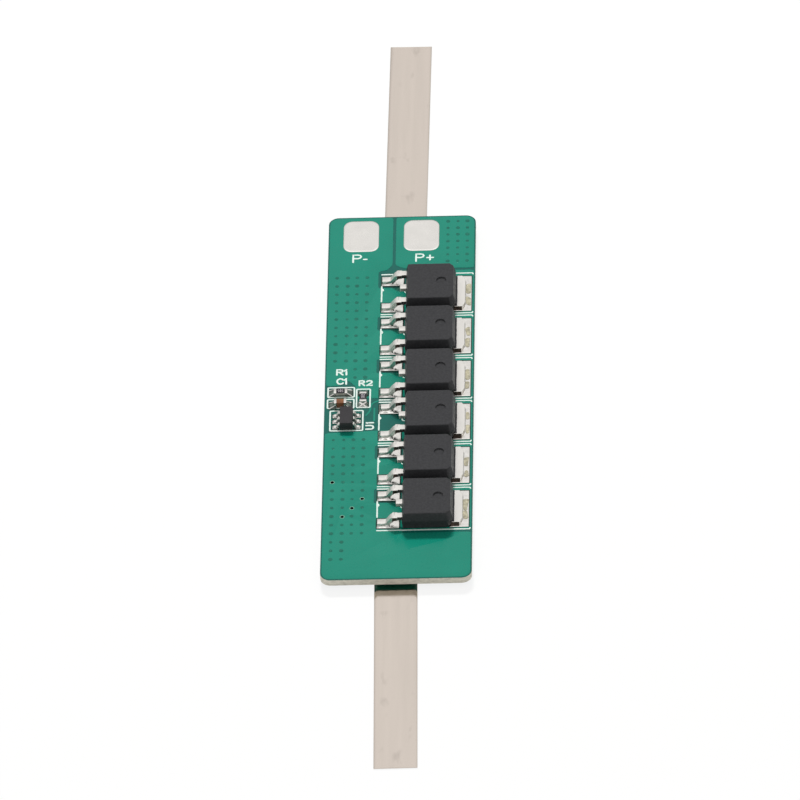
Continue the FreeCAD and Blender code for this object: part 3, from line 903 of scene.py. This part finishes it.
class BOARD_OT_finishes(bpy.types.Operator):
    """Make the board's materials and give the laminate its own"""
    bl_idname = "protection_board.finishes"
    bl_label = "Finishes"

    def execute(self, context):
        make_finishes(context.scene.board_finishes)
        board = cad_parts["circuit_board"]
        board.material_slots[0].material = bpy.data.materials["routed_laminate"]
        stroke_tree()
        tent_tree()
        ring_tree()
        return {"FINISHED"}


class BOARD_OT_copper(bpy.types.Operator):
    """Make the copper pours and traces that show through the mask"""
    bl_idname = "protection_board.copper"
    bl_label = "Copper"

    def execute(self, context):
        sizes = context.scene.copper_sizes
        setback = sizes.setback / MM
        left = BOARD_LOW.x / MM + setback
        right = BOARD_HIGH.x / MM - setback
        end = (BOARD_HIGH.y - BOARD_MIDDLE) / MM - setback
        # Each gate land stands in a notch of the pour that its transistor's source lies on
        half = LEAD_LAND_HALF + sizes.clearance / MM
        notch_left = span("transistor_1_solder")[0] / MM - sizes.clearance / MM
        inner = LEAD_LAND_END + 0.28
        notches = []
        for middle in row_middles():
            gate = middle + LEAD_PITCH
            notches.append([(inner, gate + half), (notch_left, gate + half), (notch_left, gate - half),
                            (inner, gate - half)])
        turn = sizes.corner / MM
        upper = [(left, end, turn), (-1.08, end), (-1.08, 22.3), (-1.75, 21.4), (-2.45, 21.3),
                 (notch_left, 21.0), *notches[0][2:], *notches[1], *notches[2], (inner, -0.52),
                 (-5.1, -0.52), (-5.1, 1.55), (-5.9, 2.48), (-6.3, 2.4), (-6.9, 1.75), (left, 1.7)]
        lower = [(left, -6.3), (-3.1, -6.05), (inner, -6.0), *notches[4], *notches[5], (inner, -23.2),
                 (right, -23.2), (right, -end, turn), (left, -end, turn)]
        positive = [(-0.71, end), (right, end, turn), (right, 21.6), (0.6, 21.62), (-0.35, 22.0),
                    (-0.71, 22.4)]
        drain = [(0.98, 21.22), (right, 21.22), (right, -22.85), (0.98, -22.85)]
        under = [(left, end), (right, end), (right, -end), (left, -end)]
        holes = [circle(x, y, VIA_CLEARANCE) for x, y in OPEN_VIAS]
        pours = [rounded(points, POUR_CORNER) for points in (upper, lower, positive, drain)]
        show(plate(pours + holes, BOARD_TOP, sizes.thickness), "copper_pours", "solder_mask_over_copper")
        mesh = plate([rounded(under, turn)] + holes, BOARD_BOTTOM - sizes.thickness, sizes.thickness)
        show(mesh, "copper_pour_underside", "solder_mask_over_copper")
        routes = [divided(rounded(route, 0.4, closed=False), 0.4) for route in TRACES]
        mesh = grown("printed_strokes", route_mesh(routes, BOARD_TOP + sizes.thickness / 2),
                     "solder_mask_over_copper", Width=sizes.trace, Thickness=sizes.thickness)
        show(mesh, "signal_traces")
        self.openings(sizes)
        return {"FINISHED"}

    def openings(self, sizes):
        """The mask's openings, a little larger than the lands, where bare board shows as a dark rim."""
        lands = []
        for number in TRANSISTORS:
            name = "transistor_%d" % number
            lands += lead_lands(name) + [drain_land(name)]
        lands += [chip_land(number) for number in CHIP_LEADS]
        for block in BLOCKS:
            lands += block_lands(block[0], block[-1])
        outlines = []
        for land in lands:
            ring = rounded_rectangle(land, -sizes.opening, sizes.opening * 1.5, 3)
            outlines.append([(x / MM, (y - BOARD_MIDDLE) / MM) for x, y in ring])
        show(plate(outlines, BOARD_TOP, sizes.thickness * 1.12), "mask_openings", "bare_board")


class BOARD_OT_vias(bpy.types.Operator):
    """Make the tented vias and the four open ones"""
    bl_idname = "protection_board.vias"
    bl_label = "Vias"

    def execute(self, context):
        sizes = context.scene.via_sizes
        skin = context.scene.copper_sizes.thickness
        spots = [(x, first - row * pitch) for columns, first, pitch, count in VIA_GRIDS
                 for row in range(count) for x in columns]
        # A tent nearer than this to an open via is that via
        closed = [spot for spot in spots if min(math.dist(spot, other) for other in OPEN_VIAS) > 0.6]
        # The underside's caps and rings are made upside up and turned over about the board's length
        turn_over = Matrix.Translation((0, 0, BOARD_BOTTOM + BOARD_TOP)) @ Matrix.Rotation(math.pi, 4, "Y")
        for side, flip in (("", 1), ("_underside", -1)):
            points = route_mesh([[(x * flip, y)] for x, y in closed], BOARD_TOP + skin)
            tents = grown("via_tents", points, "solder_mask_tent", Foot_radius=sizes.foot,
                          Top_radius=sizes.top, Height=sizes.height)
            points = route_mesh([[(x * flip, y)] for x, y in OPEN_VIAS], BOARD_TOP + skin / 2)
            rings = grown("rings", points, "thinned_mask", Ring_radius=sizes.ring, Band_radius=sizes.band,
                          Flatness=0.45)
            for name, mesh in (("via_tents", tents), ("via_rings", rings)):
                if flip < 0:
                    mesh.transform(turn_over)
                show(mesh, name + side)
        # The barrels' near-black finish is painted shade inside the open holes
        bm = bmesh.new()
        for x, y in OPEN_VIAS:
            outer = circle(x, y, VIA_HOLE)
            inner = circle(x, y, VIA_BARREL)
            levels = [(outer, BOARD_BOTTOM), (inner, BOARD_BOTTOM), (inner, BOARD_TOP), (outer, BOARD_TOP)]
            loops = [[bm.verts.new((px * MM, py * MM + BOARD_MIDDLE, z)) for px, py in points]
                     for points, z in levels]
            join_rings(bm, loops + loops[:1])
        show(finished_mesh(bm, 40.0), "via_barrels", "via_plating_painted_dark")
        return {"FINISHED"}


def sign_routes(sign, x, y, width, height, quarters):
    """The strokes of a sign in its printed box."""
    if quarters:
        return [[(x + (1 - v) * width, y + u * height) for u, v in stroke] for stroke in SIGNS[sign]]
    return [[(x + u * width, y + v * height) for u, v in stroke] for stroke in SIGNS[sign]]


class BOARD_OT_legend(bpy.types.Operator):
    """Print the outlines, marks and letters"""
    bl_idname = "protection_board.legend"
    bl_label = "Printed legend"

    def execute(self, context):
        sizes = context.scene.print_sizes
        skin = context.scene.copper_sizes.thickness
        lines = []
        for middle in row_middles():
            for way in (1, -1):
                y = middle + way * PRINT_HALF
                lines.append([(PRINT_LEFT, y), (PRINT_RIGHT - 0.08, y), (PRINT_RIGHT, y - way * 0.16)])
            lines.append([(PRINT_LEFT, middle + y) for y in PRINT_SIDE])
        for x0, x1, y0, y1 in BOXES:
            box = rounded([(x0, y0), (x1, y0), (x1, y1), (x0, y1)], 0.12, steps=2)
            lines.append(box + box[:1])
        letters = []
        for label in LABELS:
            letters += sign_routes(*label)
        # The ink lies on the pours and fills the step down to bare laminate
        thickness = skin + sizes.thickness
        for name, routes, width in (("legend_outlines", lines, sizes.line),
                                    ("legend_letters", letters, sizes.letter)):
            mesh = route_mesh([divided(route, 0.6) for route in routes], BOARD_TOP + thickness / 2)
            show(grown("printed_strokes", mesh, "legend_ink", Width=width, Thickness=thickness,
                       Unevenness=sizes.unevenness), name)
        self.marks(thickness, sizes.dot / MM)
        return {"FINISHED"}

    def marks(self, thickness, dot):
        """A filled half round mark beside each gate lead, and a thin ring close under each moulding."""
        marks = []
        ring_x, ring_y = FIRST_LEAD_RING
        for middle in row_middles():
            marks.append([(PRINT_LEFT + x, middle + y) for x, y in HALF_ROUND])
            marks += [circle(ring_x, middle + ring_y, radius) for radius in (dot, dot - 0.1)]
        show(plate(marks, BOARD_TOP, thickness * 0.98), "legend_marks", "legend_ink")


class BOARD_OT_output_pads(bpy.types.Operator):
    """Make the two tinned output pads"""
    bl_idname = "protection_board.output_pads"
    bl_label = "Output pads"

    def execute(self, context):
        sizes = context.scene.solder_sizes
        for node in ("output_pad_negative", "output_pad_positive"):
            bm = bmesh.new()
            pooled(bm, span(node), PAD_CORNER * MM, BOARD_TOP, sizes.film * 1.3, sizes.swell)
            show(finished_mesh(bm), node + "_tinned", "levelled_tin", [node])
        return {"FINISHED"}


class BOARD_OT_transistors(bpy.types.Operator):
    """Dress the six transistors: mouldings, metal, solder and flux residue"""
    bl_idname = "protection_board.transistors"
    bl_label = "Transistors"

    def execute(self, context):
        edges = context.scene.package_sizes
        sizes = context.scene.solder_sizes
        for number in TRANSISTORS:
            name = "transistor_%d" % number
            end = self.moulding(name + "_body", edges)
            for part in ("_drain_tab", "_gate_lead", "_source_lead"):
                self.metal(name + part, end, edges)
            self.painted_shade_skin(name, end / MM)
            self.solder(name, sizes)
            self.flux(name, number, sizes)
        return {"FINISHED"}

    def moulding(self, body, edges):
        """Show a moulding and give the place of its end beside the tab."""
        piece = ease(body, edges.moulding_edge, 0.45 * MM, "transistor_moulding_compound")
        x1 = span(body)[1]
        dimple = Vector((x1 - DIMPLE_INSET * MM, middle_along(body)))
        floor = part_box(body)[1].z - DIMPLE_DEPTH * MM * 0.9
        for vertex in piece.data.vertices:
            if (vertex.co.to_2d() - dimple).length < DIMPLE_RADIUS * 1.3 * MM and vertex.co.z < floor:
                vertex.co.z -= edges.dimple
            # The end beside the tab stands a little back, and a dark skin of moulding compound on the tab
            # there paints the shade under the moulding's end
            if vertex.co.x > x1 - 1.2 * MM:
                vertex.co.x -= edges.tab_gap
        return x1

    def metal(self, node, moulding_end, edges):
        """Show a tab or lead. The tab's free sides and the stubs beside a lead were cut after plating."""
        middle = middle_along(node)
        stub = (LEAD_WIDTH / 2 + 0.04) * MM
        piece = ease(node, edges.metal_edge, 0.25 * MM, "matte_tin_plate")
        # The cut faces take the copper finish whose darkness is partly painted shade
        if node.endswith("_drain_tab"):
            bare_sides(piece, lambda spots: max(spot.x for spot in spots) > moulding_end)
        else:
            bare_sides(piece, lambda spots: abs(spots[0].y - middle) > stub)

    def solder(self, name, sizes):
        bm = bmesh.new()
        half = LEAD_WIDTH / 2 * MM
        for part, land in zip(("_gate_lead", "_source_lead"), lead_lands(name)):
            # The cut stubs make the lead's box wider than its foot
            x0 = span(name + part)[0]
            middle = middle_along(name + part)
            foot = (x0, x0 + LEAD_FOOT * MM, middle - half, middle + half)
            runs = (x0 - land[0], LEAD_HEEL * MM, foot[2] - land[2], land[3] - foot[3])
            # It climbs the toe and the heel, and leaves the sides between them bare
            tinned_land(bm, land, foot, runs, sizes.film,
                        lambda along: sizes.climb * (0.22 + 0.78 * abs(along) ** 2.5), sizes.corner,
                        0.09 * MM)
        x1, y0, y1 = span(name + "_drain_tab")[1:]
        land = drain_land(name)
        # The tab's sides are bare copper and take little solder
        tinned_land(bm, land, (x1 - TAB_FOOT * MM, x1, y0, y1), (0, 0.2 * MM, y0 - land[2], 0.2 * MM),
                    sizes.film, lambda along: sizes.tab_climb * (0.2 + 0.8 * max(0.0, along) ** 8),
                    sizes.corner, 0.12 * MM, TAB_CUT)
        show(finished_mesh(bm), name + "_solder_joints", "reflowed_solder", [name + "_solder"])

    def painted_shade_skin(self, name, end):
        """Painted shade: a thin dark skin of moulding compound on the tab, along the foot of the moulding,
        where its shade falls.
        """
        y0, y1 = [(y - BOARD_MIDDLE) / MM for y in span(name + "_drain_tab")[2:]]
        top = BOARD_TOP + 0.56 * MM
        skin = [(end - 0.5, y0 + 0.08), (end - 0.03, y0 + 0.08), (end - 0.03, y1 - 0.08),
                (end - 0.5, y1 - 0.08)]
        show(plate([divided_loop(skin, 0.3, 0.03)], top, 0.03 * MM), name + "_flash",
             "transistor_moulding_compound")

    def flux(self, name, number, sizes):
        """Two puddles of flux residue between the tab's end and the land's."""
        tab = name + "_drain_tab"
        land_end = drain_land(name)[1]
        bm = bmesh.new()
        for k, place in enumerate((0.75, -1.25)):
            drift = noise.noise(Vector((number * 3.7, k * 2.3, 0.1)))
            half = (0.8 + 0.4 * noise.noise(Vector((number * 1.9, k * 4.1, 0.6)))) * MM
            y = middle_along(tab) + (place + 0.4 * drift) * MM
            pooled(bm, (span(tab)[1] + 0.06 * MM, land_end - 0.12 * MM, y - half, y + half), 0.28 * MM,
                   BOARD_TOP + sizes.film * 0.9, 0.08 * MM + 0.02 * MM * drift, 0.05 * MM, ragged=0.2 * MM)
        show(finished_mesh(bm), name + "_flux_residue", "flux_residue")


class BOARD_OT_protection_chip(bpy.types.Operator):
    """Dress the protection chip"""
    bl_idname = "protection_board.protection_chip"
    bl_label = "Protection chip"

    def execute(self, context):
        edges = context.scene.package_sizes
        sizes = context.scene.solder_sizes
        ease("protection_chip_body", edges.chip_edge, 0.3 * MM, "chip_moulding_compound")
        bm = bmesh.new()
        for number in CHIP_LEADS:
            lead = "protection_chip_lead_%d" % number
            ease(lead, edges.metal_edge * 0.4, 0.1 * MM, "matte_tin_plate")
            a, b, c, d = span(lead)
            land = chip_land(number)
            side = c - land[2]
            if number < 4:
                foot = (a, a + CHIP_FOOT * MM, c, d)
                runs = (a - land[0], 0.1 * MM, side, side)
            else:
                foot = (b - CHIP_FOOT * MM, b, c, d)
                runs = (0.1 * MM, land[1] - b, side, side)
            tinned_land(bm, land, foot, runs, sizes.film * 0.67, lambda along: sizes.climb * 0.22,
                        0.06 * MM, 0.06 * MM)
        show(finished_mesh(bm), "protection_chip_solder_joints", "reflowed_solder",
             ["protection_chip_solder"])
        return {"FINISHED"}


class BOARD_OT_blocks(bpy.types.Operator):
    """Dress the two resistors and the capacitor"""
    bl_idname = "protection_board.blocks"
    bl_label = "Resistors and capacitor"

    def execute(self, context):
        edge = context.scene.package_sizes.block_edge
        sizes = context.scene.solder_sizes
        for name, ceramic, slot, value, upright in BLOCKS:
            ease(name + "_body", edge * 0.5, 0.1 * MM, ceramic)
            ease(name + "_end_caps", edge, 0.1 * MM, "reflowed_solder")
            if value:
                self.glaze(name, value, upright, edge)
            self.solder(name, upright, sizes)
        return {"FINISHED"}

    def glaze(self, name, value, upright, edge):
        """Show a resistor's overglaze with its value printed across it."""
        node = name + "_overglaze"
        ease(node, edge * 0.3, 0.1 * MM, "resistor_overglaze")
        x0, x1, y0, y1 = [c / MM for c in span(node)]
        x, y = (x0 + x1) / 2, (y0 + y1) / 2 - BOARD_MIDDLE / MM
        routes = []
        for k, digit in enumerate(value):
            along = (k - 1) * 0.25 - 0.075
            if upright:
                routes += sign_routes(digit, x - 0.19, y + along, 0.38, 0.15, 1)
            else:
                routes += sign_routes(digit, x + along, y - 0.19, 0.15, 0.38, 0)
        mesh = route_mesh(routes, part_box(node)[1].z)
        show(grown("printed_strokes", mesh, "marking_paint", Width=0.062 * MM, Thickness=0.012 * MM),
             name + "_value")

    def solder(self, name, upright, sizes):
        x0, x1, y0, y1 = span(name + "_solder")
        a, b, c, d = span(name + "_end_caps")
        runs = (a - x0, x1 - b, c - y0, y1 - d)
        bm = bmesh.new()
        for way, land in zip((-1, 1), block_lands(name, upright)):

            def crest(x, y):
                """Measured outwards from the block's end and across the land."""
                if upright:
                    out = (c - y) / (c - y0) if way < 0 else (y - d) / (y1 - d)
                    return waisted_crests(out, (2 * x - x0 - x1) / (x1 - x0), 0.85) if out > 0 else 0.0
                out = (a - x) / (a - x0) if way < 0 else (x - b) / (x1 - b)
                return hip_crests(out, (2 * y - y0 - y1) / (y1 - y0), 0.55) if out > 0 else 0.0

            tinned_land(bm, land, (a, b, c, d), runs, sizes.film * 0.67, lambda along: sizes.climb * 1.1,
                        0.1 * MM, 0.045 * MM, hollowness=1.0, crest=crest, crest_height=sizes.ridge)
        mesh = finished_mesh(bm)
        # The second finish paints a dark reflection on the slopes between the crests
        for material in ("reflowed_solder", "solder_with_painted_dark_reflection"):
            mesh.materials.append(bpy.data.materials[material])
        show(mesh, name + "_solder_joints", nodes=[name + "_solder"])


class BOARD_OT_strips(bpy.types.Operator):
    """Roll the two nickel strips and solder them under the board"""
    bl_idname = "protection_board.strips"
    bl_label = "Nickel strips"

    def execute(self, context):
        sizes = context.scene.strip_sizes
        for end, way in (("far", 1), ("near", -1)):
            self.strip("nickel_strip_" + end, way, sizes)
            self.joint("strip_solder_" + end, way)
        return {"FINISHED"}

    def corners(self, node):
        """The strip's four corners: near left, near right, far left and far right."""
        points = [v.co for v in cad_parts[node].data.vertices]
        middle = sum(p.y for p in points) / len(points)
        made = []
        for side in (-1, 1):
            end = [p for p in points if (p.y - middle) * side > 0]
            made.append(min(end, key=lambda p: p.x).to_2d())
            made.append(max(end, key=lambda p: p.x).to_2d())
        return made

    def strip(self, node, way, sizes):
        near_left, near_right, far_left, far_right = self.corners(node)
        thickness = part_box(node)[1].z
        width = (near_right - near_left).length
        edge = BOARD_HIGH.y if way > 0 else BOARD_LOW.y
        eased = sizes.edge / width
        across = [eased] + [k / 10 for k in range(1, 10)] + [1 - eased]
        section = [(u, thickness) for u in across]
        section += [(1, thickness - sizes.edge), (1, sizes.edge)]
        section += [(u, 0) for u in reversed(across)] + [(0, sizes.edge), (0, thickness - sizes.edge)]
        bm = bmesh.new()
        loops = []
        count = 72
        for k in range(count + 1):
            v = k / count
            loop = []
            for u, z in section:
                spot = near_left.lerp(near_right, u).lerp(far_left.lerp(far_right, u), v)
                # Clear of the board the strip lifts and dips a little, and its sheared ends are uneven
                free = max(0.0, min(1.0, (spot.y - edge) * way / (4 * MM) - 0.2))
                wave = 0.5 + noise.noise(Vector((spot.x / (9 * MM), spot.y / (8 * MM), 0.4)))
                lift = sizes.waviness * free * max(0.0, wave)
                shear = 0.03 * MM * abs(noise.noise(Vector((u * 3.1, way * 1.7, v))))
                y = spot.y + (shear if k == 0 else -shear if k == count else 0.0)
                loop.append(bm.verts.new((spot.x, y, z + lift)))
            loops.append(loop)
        join_rings(bm, loops)
        bm.faces.new(loops[0])
        bm.faces.new(list(reversed(loops[-1])))
        show(finished_mesh(bm, 50.0), node + "_rolled", "rolled_nickel", [node])

    def joint(self, node, way):
        """Solder that wets the strip's end and spreads up to a tinned land under the board."""
        low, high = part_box(node)
        bm = bmesh.new()
        loops = []
        for k in range(9):
            t = k / 8
            points = rounded_rectangle(span(node), 0.42 * MM * (1 - t ** 2.4), 0.6 * MM)
            loops.append([bm.verts.new((x, y, low.z + (high.z - low.z) * t)) for x, y in points])
        join_rings(bm, loops)
        bm.faces.new(list(reversed(loops[0])))
        bm.faces.new(loops[-1])
        show(finished_mesh(bm), node + "_joint", "reflowed_solder", [node])
        # The land keeps well clear of the board's cut edge
        outer = (BOARD_HIGH.y if way > 0 else BOARD_LOW.y) - way * 1.1 * MM
        inner = (low.y if way > 0 else high.y) - way * 0.3 * MM
        land = (low.x - 0.35 * MM, high.x + 0.35 * MM, *sorted((outer, inner)))
        bm = bmesh.new()
        pooled(bm, land, 0.6 * MM, BOARD_BOTTOM, 0.06 * MM, 0.008 * MM, -1)
        show(finished_mesh(bm), node + "_land", "levelled_tin")


class BOARD_OT_stage(bpy.types.Operator):
    """Set the floor, the lights and the camera"""
    bl_idname = "protection_board.stage"
    bl_label = "Stage"

    def execute(self, context):
        scene = context.scene
        light = scene.stage_light
        scene.view_settings.view_transform = "Standard"
        self.floor(scene)
        self.world(scene, light.fill)
        # The key comes from behind the board, half way up, and is wider than it is high
        lamp = bpy.data.lights.new("key", "AREA")
        lamp.shape = "RECTANGLE"
        lamp.size, lamp.size_y = KEY_SIZE
        lamp.energy = light.key
        key = bpy.data.objects.new("key", lamp)
        scene.collection.objects.link(key)
        towards = Vector(KEY_DIRECTION).normalized()
        key.location = towards * KEY_DISTANCE
        key.rotation_mode = "QUATERNION"
        key.rotation_quaternion = towards.to_track_quat("Z", "Y")
        # Metal mirrors the bright room and not the lamp, as under a diffused light
        key.visible_glossy = False
        self.camera(scene)
        return {"FINISHED"}

    def floor(self, scene):
        mesh = bpy.data.meshes.new("floor")
        far = 6.0
        low = -0.01 * MM
        mesh.from_pydata([(-far, -far, low), (far, -far, low), (far, far, low), (-far, far, low)], [],
                         [(0, 1, 2, 3)])
        floor = bpy.data.objects.new("floor", mesh)
        scene.collection.objects.link(floor)
        made = bpy.data.materials.new("seamless_paper")
        made.use_nodes = True
        tree = made.node_tree
        tree.nodes.clear()
        # Matte white paper that reads as white to the camera and in the metal, and still takes a shadow
        paper = add(tree, "ShaderNodeBsdfDiffuse", {"Color": linear("F4F4F2")})
        white = add(tree, "ShaderNodeEmission", {"Color": (1, 1, 1, 1), "Strength": 1.0})
        share = add(tree, "ShaderNodeMath", {1: 0.84}, {0: self.seen(tree)}, operation="MULTIPLY")
        mix = add(tree, "ShaderNodeMixShader", links={0: share, 1: paper, 2: white})
        add(tree, "ShaderNodeOutputMaterial", links={"Surface": mix})
        mesh.materials.append(made)

    def seen(self, tree):
        """1 for a ray that shows the background: from the camera, off metal or through glass."""
        path = add(tree, "ShaderNodeLightPath")
        first = add(tree, "ShaderNodeMath",
                    links={0: path.outputs["Is Camera Ray"], 1: path.outputs["Is Glossy Ray"]},
                    operation="MAXIMUM")
        return add(tree, "ShaderNodeMath", links={0: first, 1: path.outputs["Is Transmission Ray"]},
                   operation="MAXIMUM")

    def world(self, scene, fill):
        world = bpy.data.worlds.new("studio")
        scene.world = world
        world.use_nodes = True
        tree = world.node_tree
        tree.nodes.clear()
        # What metal mirrors is white above the board, and dimmer round the photographer and along the walls
        place = add(tree, "ShaderNodeTexCoord")
        facing = add(tree, "ShaderNodeVectorMath", {1: (0.04, -0.72, 0.69)},
                     {0: place.outputs["Generated"]}, operation="DOT_PRODUCT")
        turn = add(tree, "ShaderNodeMapRange", {"From Min": -1.0, "From Max": 1.0},
                   {"Value": facing.outputs["Value"]})
        ramp = add(tree, "ShaderNodeValToRGB", links={"Fac": turn})
        stops = [(0.0, 0.66), (0.5, 0.7), (0.74, 1.0), (0.84, 1.0), (0.92, 0.55), (1.0, 0.45)]
        ramp.color_ramp.interpolation = "EASE"
        for stop in stops[1:-1]:
            ramp.color_ramp.elements.new(stop[0])
        for stop, (position, level) in zip(ramp.color_ramp.elements, stops):
            stop.position = position
            stop.color = (level, level, level, 1.0)
        parts = add(tree, "ShaderNodeSeparateXYZ", links={"Vector": place.outputs["Generated"]})
        height = add(tree, "ShaderNodeMapRange",
                     {"From Min": 0.3, "From Max": 0.66, "To Min": 0.8, "To Max": 1.5},
                     {"Value": parts.outputs["Z"]}, interpolation_type="SMOOTHSTEP")
        room = add(tree, "ShaderNodeMath", links={0: ramp, 1: height}, operation="MULTIPLY")
        path = add(tree, "ShaderNodeLightPath")
        # Everything else is filled with light from all round, a little more of it from the front
        soft = add(tree, "ShaderNodeMapRange",
                   {"From Min": -1.0, "From Max": 1.0, "To Min": fill * 0.85, "To Max": fill * 1.25},
                   {"Value": facing.outputs["Value"]})
        lit = add(tree, "ShaderNodeMix", links={0: path.outputs["Is Glossy Ray"], 2: soft, 3: room})
        shown = add(tree, "ShaderNodeMath",
                    links={0: path.outputs["Is Camera Ray"], 1: path.outputs["Is Transmission Ray"]},
                    operation="MAXIMUM")
        level = add(tree, "ShaderNodeMix", {3: 1.0}, {0: shown, 2: lit})
        sky = add(tree, "ShaderNodeBackground", {"Color": (1, 1, 1, 1)}, {"Strength": level})
        add(tree, "ShaderNodeOutputWorld", links={"Surface": sky})

    def camera(self, scene):
        """The photograph's viewing angle."""
        lift, yaw, roll = [math.radians(angle) for angle in CAMERA_TURNS]
        back = Vector((math.sin(yaw) * math.cos(lift), -math.cos(yaw) * math.cos(lift), math.sin(lift)))
        level_right = Vector((math.cos(yaw), math.sin(yaw), 0))
        level_up = back.cross(level_right)
        right = math.cos(roll) * level_right + math.sin(roll) * level_up
        up = -math.sin(roll) * level_right + math.cos(roll) * level_up
        aim = CAMERA_AIM[0] * right + CAMERA_AIM[1] * up
        target = Vector((0, BOARD_MIDDLE, BOARD_TOP)) + aim * MM
        data = bpy.data.cameras.new("camera")
        data.sensor_width = 36
        data.lens = data.sensor_width * PIXELS_PER_MM * CAMERA_DISTANCE / MM / IMAGE_WIDTH
        data.clip_start = 0.05
        camera = bpy.data.objects.new("camera", data)
        scene.collection.objects.link(camera)
        turned = Matrix((right, up, back)).transposed().to_4x4()
        camera.matrix_world = Matrix.Translation(target + back * CAMERA_DISTANCE) @ turned
        scene.camera = camera


SETTINGS = {
    "board_finishes": BoardFinishes,
    "copper_sizes": CopperSizes,
    "via_sizes": ViaSizes,
    "print_sizes": PrintSizes,
    "solder_sizes": SolderSizes,
    "package_sizes": PackageSizes,
    "strip_sizes": StripSizes,
    "stage_light": StageLight,
}
OPERATORS = [
    (BOARD_OT_finishes, "board_finishes"),
    (BOARD_OT_copper, "copper_sizes"),
    (BOARD_OT_vias, "via_sizes"),
    (BOARD_OT_legend, "print_sizes"),
    (BOARD_OT_output_pads, "solder_sizes"),
    (BOARD_OT_transistors, "package_sizes"),
    (BOARD_OT_protection_chip, None),
    (BOARD_OT_blocks, None),
    (BOARD_OT_strips, "strip_sizes"),
    (BOARD_OT_stage, "stage_light"),
]


class BOARD_PT_panel(bpy.types.Panel):
    """The board's pieces with their sizes and colours"""
    bl_idname = "BOARD_PT_panel"
    bl_label = "Battery management board"
    bl_space_type = "VIEW_3D"
    bl_region_type = "UI"
    bl_category = "Board"

    def draw(self, context):
        for operator, group in OPERATORS:
            column = self.layout.column()
            column.operator(operator.bl_idname)
            if group:
                for name in SETTINGS[group].__annotations__:
                    column.prop(getattr(context.scene, group), name)


CLASSES = list(SETTINGS.values()) + [operator for operator, group in OPERATORS] + [BOARD_PT_panel]


def register():
    """Register every class and the scene's settings."""
    for item in CLASSES:
        bpy.utils.register_class(item)
    for name, group in SETTINGS.items():
        setattr(bpy.types.Scene, name, bpy.props.PointerProperty(type=group))


def unregister():
    """Undo what register does."""
    for name in SETTINGS:
        delattr(bpy.types.Scene, name)
    for item in reversed(CLASSES):
        bpy.utils.unregister_class(item)


def main():
    """Make every piece in order."""
    register()
    bpy.ops.protection_board.finishes()
    bpy.ops.protection_board.copper()
    bpy.ops.protection_board.vias()
    bpy.ops.protection_board.legend()
    bpy.ops.protection_board.output_pads()
    bpy.ops.protection_board.transistors()
    bpy.ops.protection_board.protection_chip()
    bpy.ops.protection_board.blocks()
    bpy.ops.protection_board.strips()
    bpy.ops.protection_board.stage()


if __name__ == "__main__":
    main()
